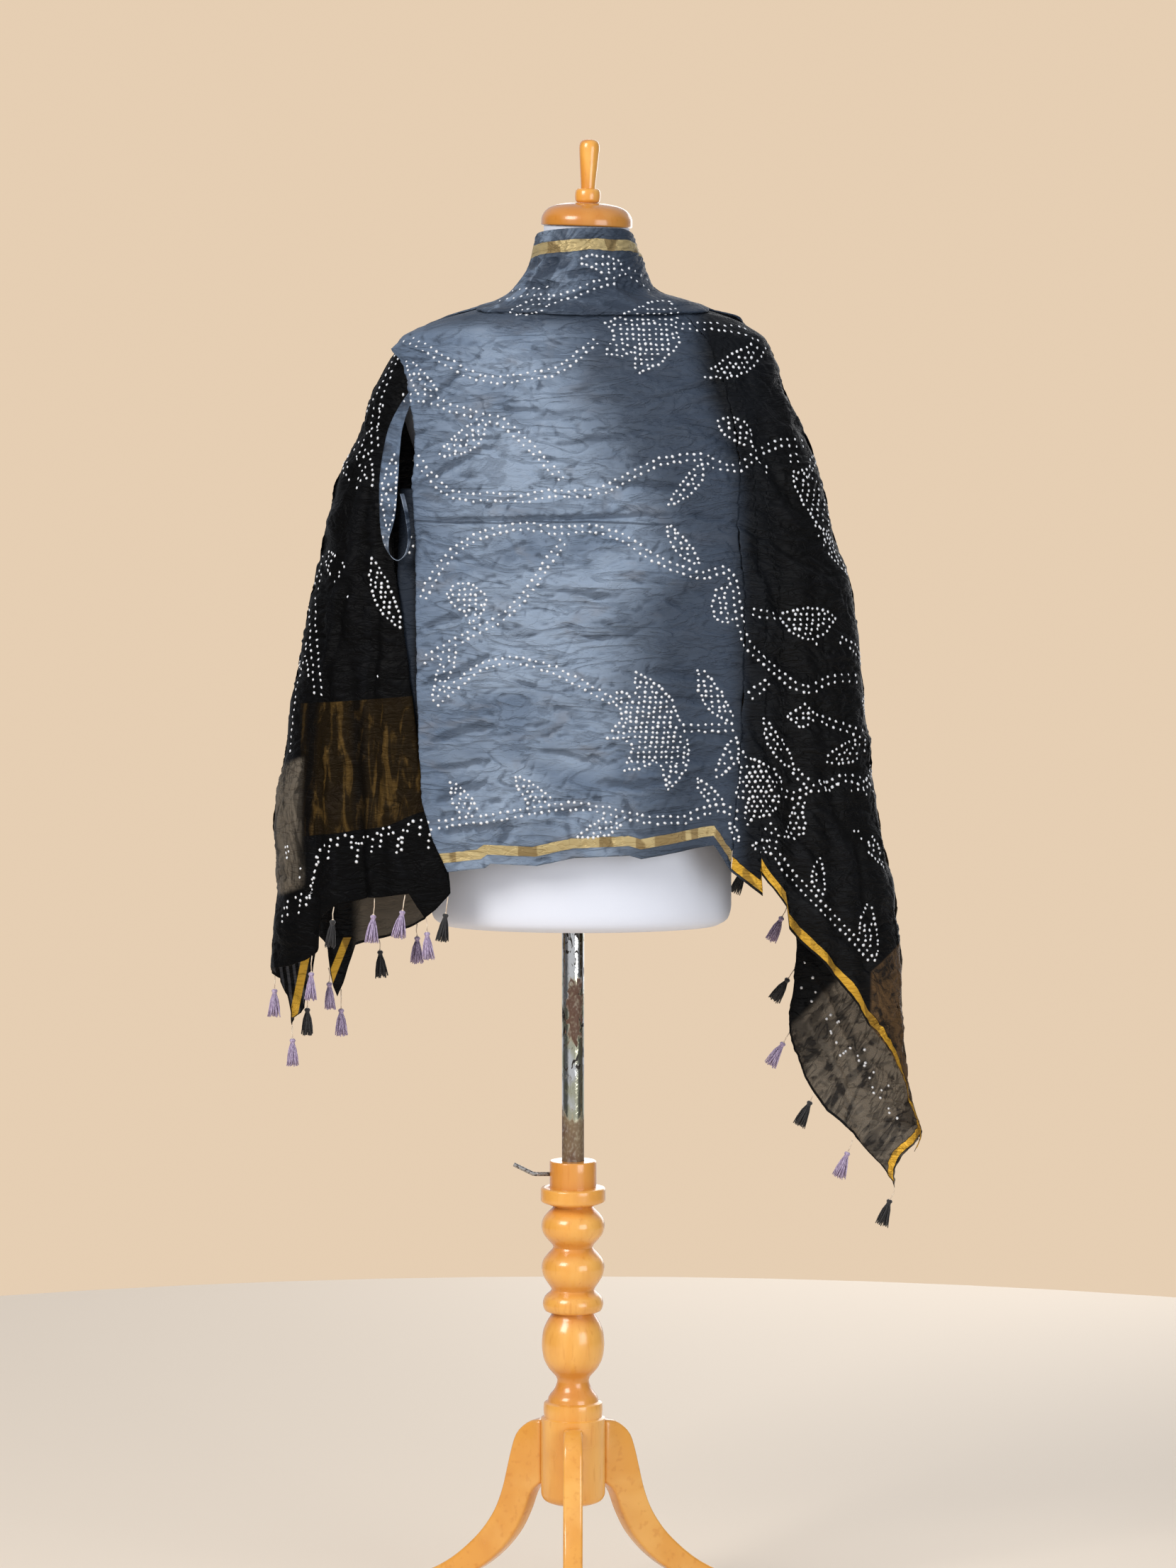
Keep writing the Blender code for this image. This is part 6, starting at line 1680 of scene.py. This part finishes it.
def tube(route, radii, sides):
    """Closed tube along a route, in points and faces."""
    points, faces = [], []
    for i, (spot, radius) in enumerate(zip(route, radii)):
        ahead = route[min(i + 1, len(route) - 1)] - route[max(i - 1, 0)]
        side = ahead.orthogonal().normalized()
        other = ahead.normalized().cross(side)
        for k in range(sides):
            angle = 2 * math.pi * k / sides
            points.append(spot + (side * math.cos(angle) + other * math.sin(angle)) * radius)
    for i in range(len(route) - 1):
        for k in range(sides):
            j = (k + 1) % sides
            faces.append((i * sides + k, i * sides + j, (i + 1) * sides + j, (i + 1) * sides + k))
    faces.append(tuple(range(sides))[::-1])
    faces.append(tuple(range(len(points) - sides, len(points))))
    return points, faces


def floss(name, tones):
    """Matt thread that runs upright, in two tones."""
    paint = Paint(name)
    thread = paint.noise((1, 1, 0.25), 900, 2.0)
    paint.bump(thread, 0.0003)
    paint.shader.inputs["Sheen Weight"].default_value = 0.4
    return paint.set(Base_Color=paint.mix(thread.rise(0.35, 0.65), *tones), Roughness=thread * 0.2 + 0.6)


FLOSS = {
    "tassel_purple": floss("purple_floss", ((0.25, 0.18, 0.30, 1), (0.50, 0.41, 0.57, 1))),
    "tassel_black": floss("black_floss", ((0.004, 0.004, 0.004, 1), (0.016, 0.015, 0.017, 1))),
}
cream = floss("cream_cord", ((0.55, 0.40, 0.28, 1), (0.85, 0.72, 0.55, 1)))
slots = {part["node"]: part["material_slot"] for part in frame["record"]["subparts"]}


def tie_tassel(node, seed):
    """A fine tassel on the line of the frame's own: from the cord's top to the floss ends."""
    corners = np.array([v.co for v in frame["nodes"][node].data.vertices])
    top = corners[corners[:, 2] > corners[:, 2].max() - 0.0012].mean(axis=0)
    away = np.linalg.norm(corners - top, axis=1)
    ends = corners[away > away.max() * 0.93].mean(axis=0)
    down = Vector(ends - top)
    string = down.length - HEAD_LENGTH - SKIRT_LENGTH
    down.normalize()
    side = down.orthogonal().normalized()
    other = down.cross(side)
    chance = np.random.default_rng(seed)
    start = Vector(top)
    head = start + down * string
    points, faces, kinds = [], [], []

    def add(shape, kind):
        """Add a tube's points and faces, of floss (0) or of cord (1)."""
        first = len(points)
        points.extend(shape[0])
        faces.extend(tuple(first + k for k in face) for face in shape[1])
        kinds.extend([kind] * len(shape[1]))

    flare = chance.uniform(0.88, 1.10)
    sway = side * chance.normal(0, 0.0008)
    add(tube([start, start + down * string * 0.5 + sway, head + down * 0.0004],
             [CORD_RADIUS] * 3, 6), 1)
    add(tube([head - down * 0.0006, head + down * 0.0008, head + down * 0.0016],
             KNOT_RADII, 8), 1)
    add(tube([head + down * drop for drop, _ in HEAD_PROFILE], [r for _, r in HEAD_PROFILE], 14), 0)
    for k in range(FLOSS_STRANDS):
        ring = math.sqrt((k + 0.5) / FLOSS_STRANDS)
        angle = k * GOLDEN_TURN + chance.normal(0, 0.1)
        heading = side * math.cos(angle) + other * math.sin(angle)
        reach = SKIRT_RADIUS * flare * ring * chance.uniform(0.82, 1.08)
        long = SKIRT_LENGTH * chance.uniform(0.90, 1.0)
        root = head + down * (HEAD_LENGTH - 0.0008) + heading * HEAD_RADIUS * 0.55 * ring
        curl = other * math.sin(angle * 3) * 0.0008
        route = [root + down * long * t + heading * (reach - HEAD_RADIUS * 0.55 * ring) * t ** 0.8
                 + curl * math.sin(math.pi * t * 1.4) for t in (0, 0.3, 0.65, 1)]
        add(tube(route, STRAND_RADII, STRAND_SIDES), 0)
    mesh = bpy.data.meshes.new(node + "_looks")
    mesh.from_pydata([tuple(p) for p in points], [], faces)
    mesh.materials.append(FLOSS[slots[node]])
    mesh.materials.append(cream)
    mesh.polygons.foreach_set("material_index", kinds)
    mesh.shade_smooth()
    tassel = bpy.data.objects.new(mesh.name, mesh)
    bpy.context.collection.objects.link(tassel)
    stand_for(tassel, "form", slots[node], node)


for number, node in enumerate(sorted(n for n in frame["nodes"] if n.startswith("tassel"))):
    tie_tassel(node, number)

# Bring the scene up to date
bpy.context.view_layer.update()
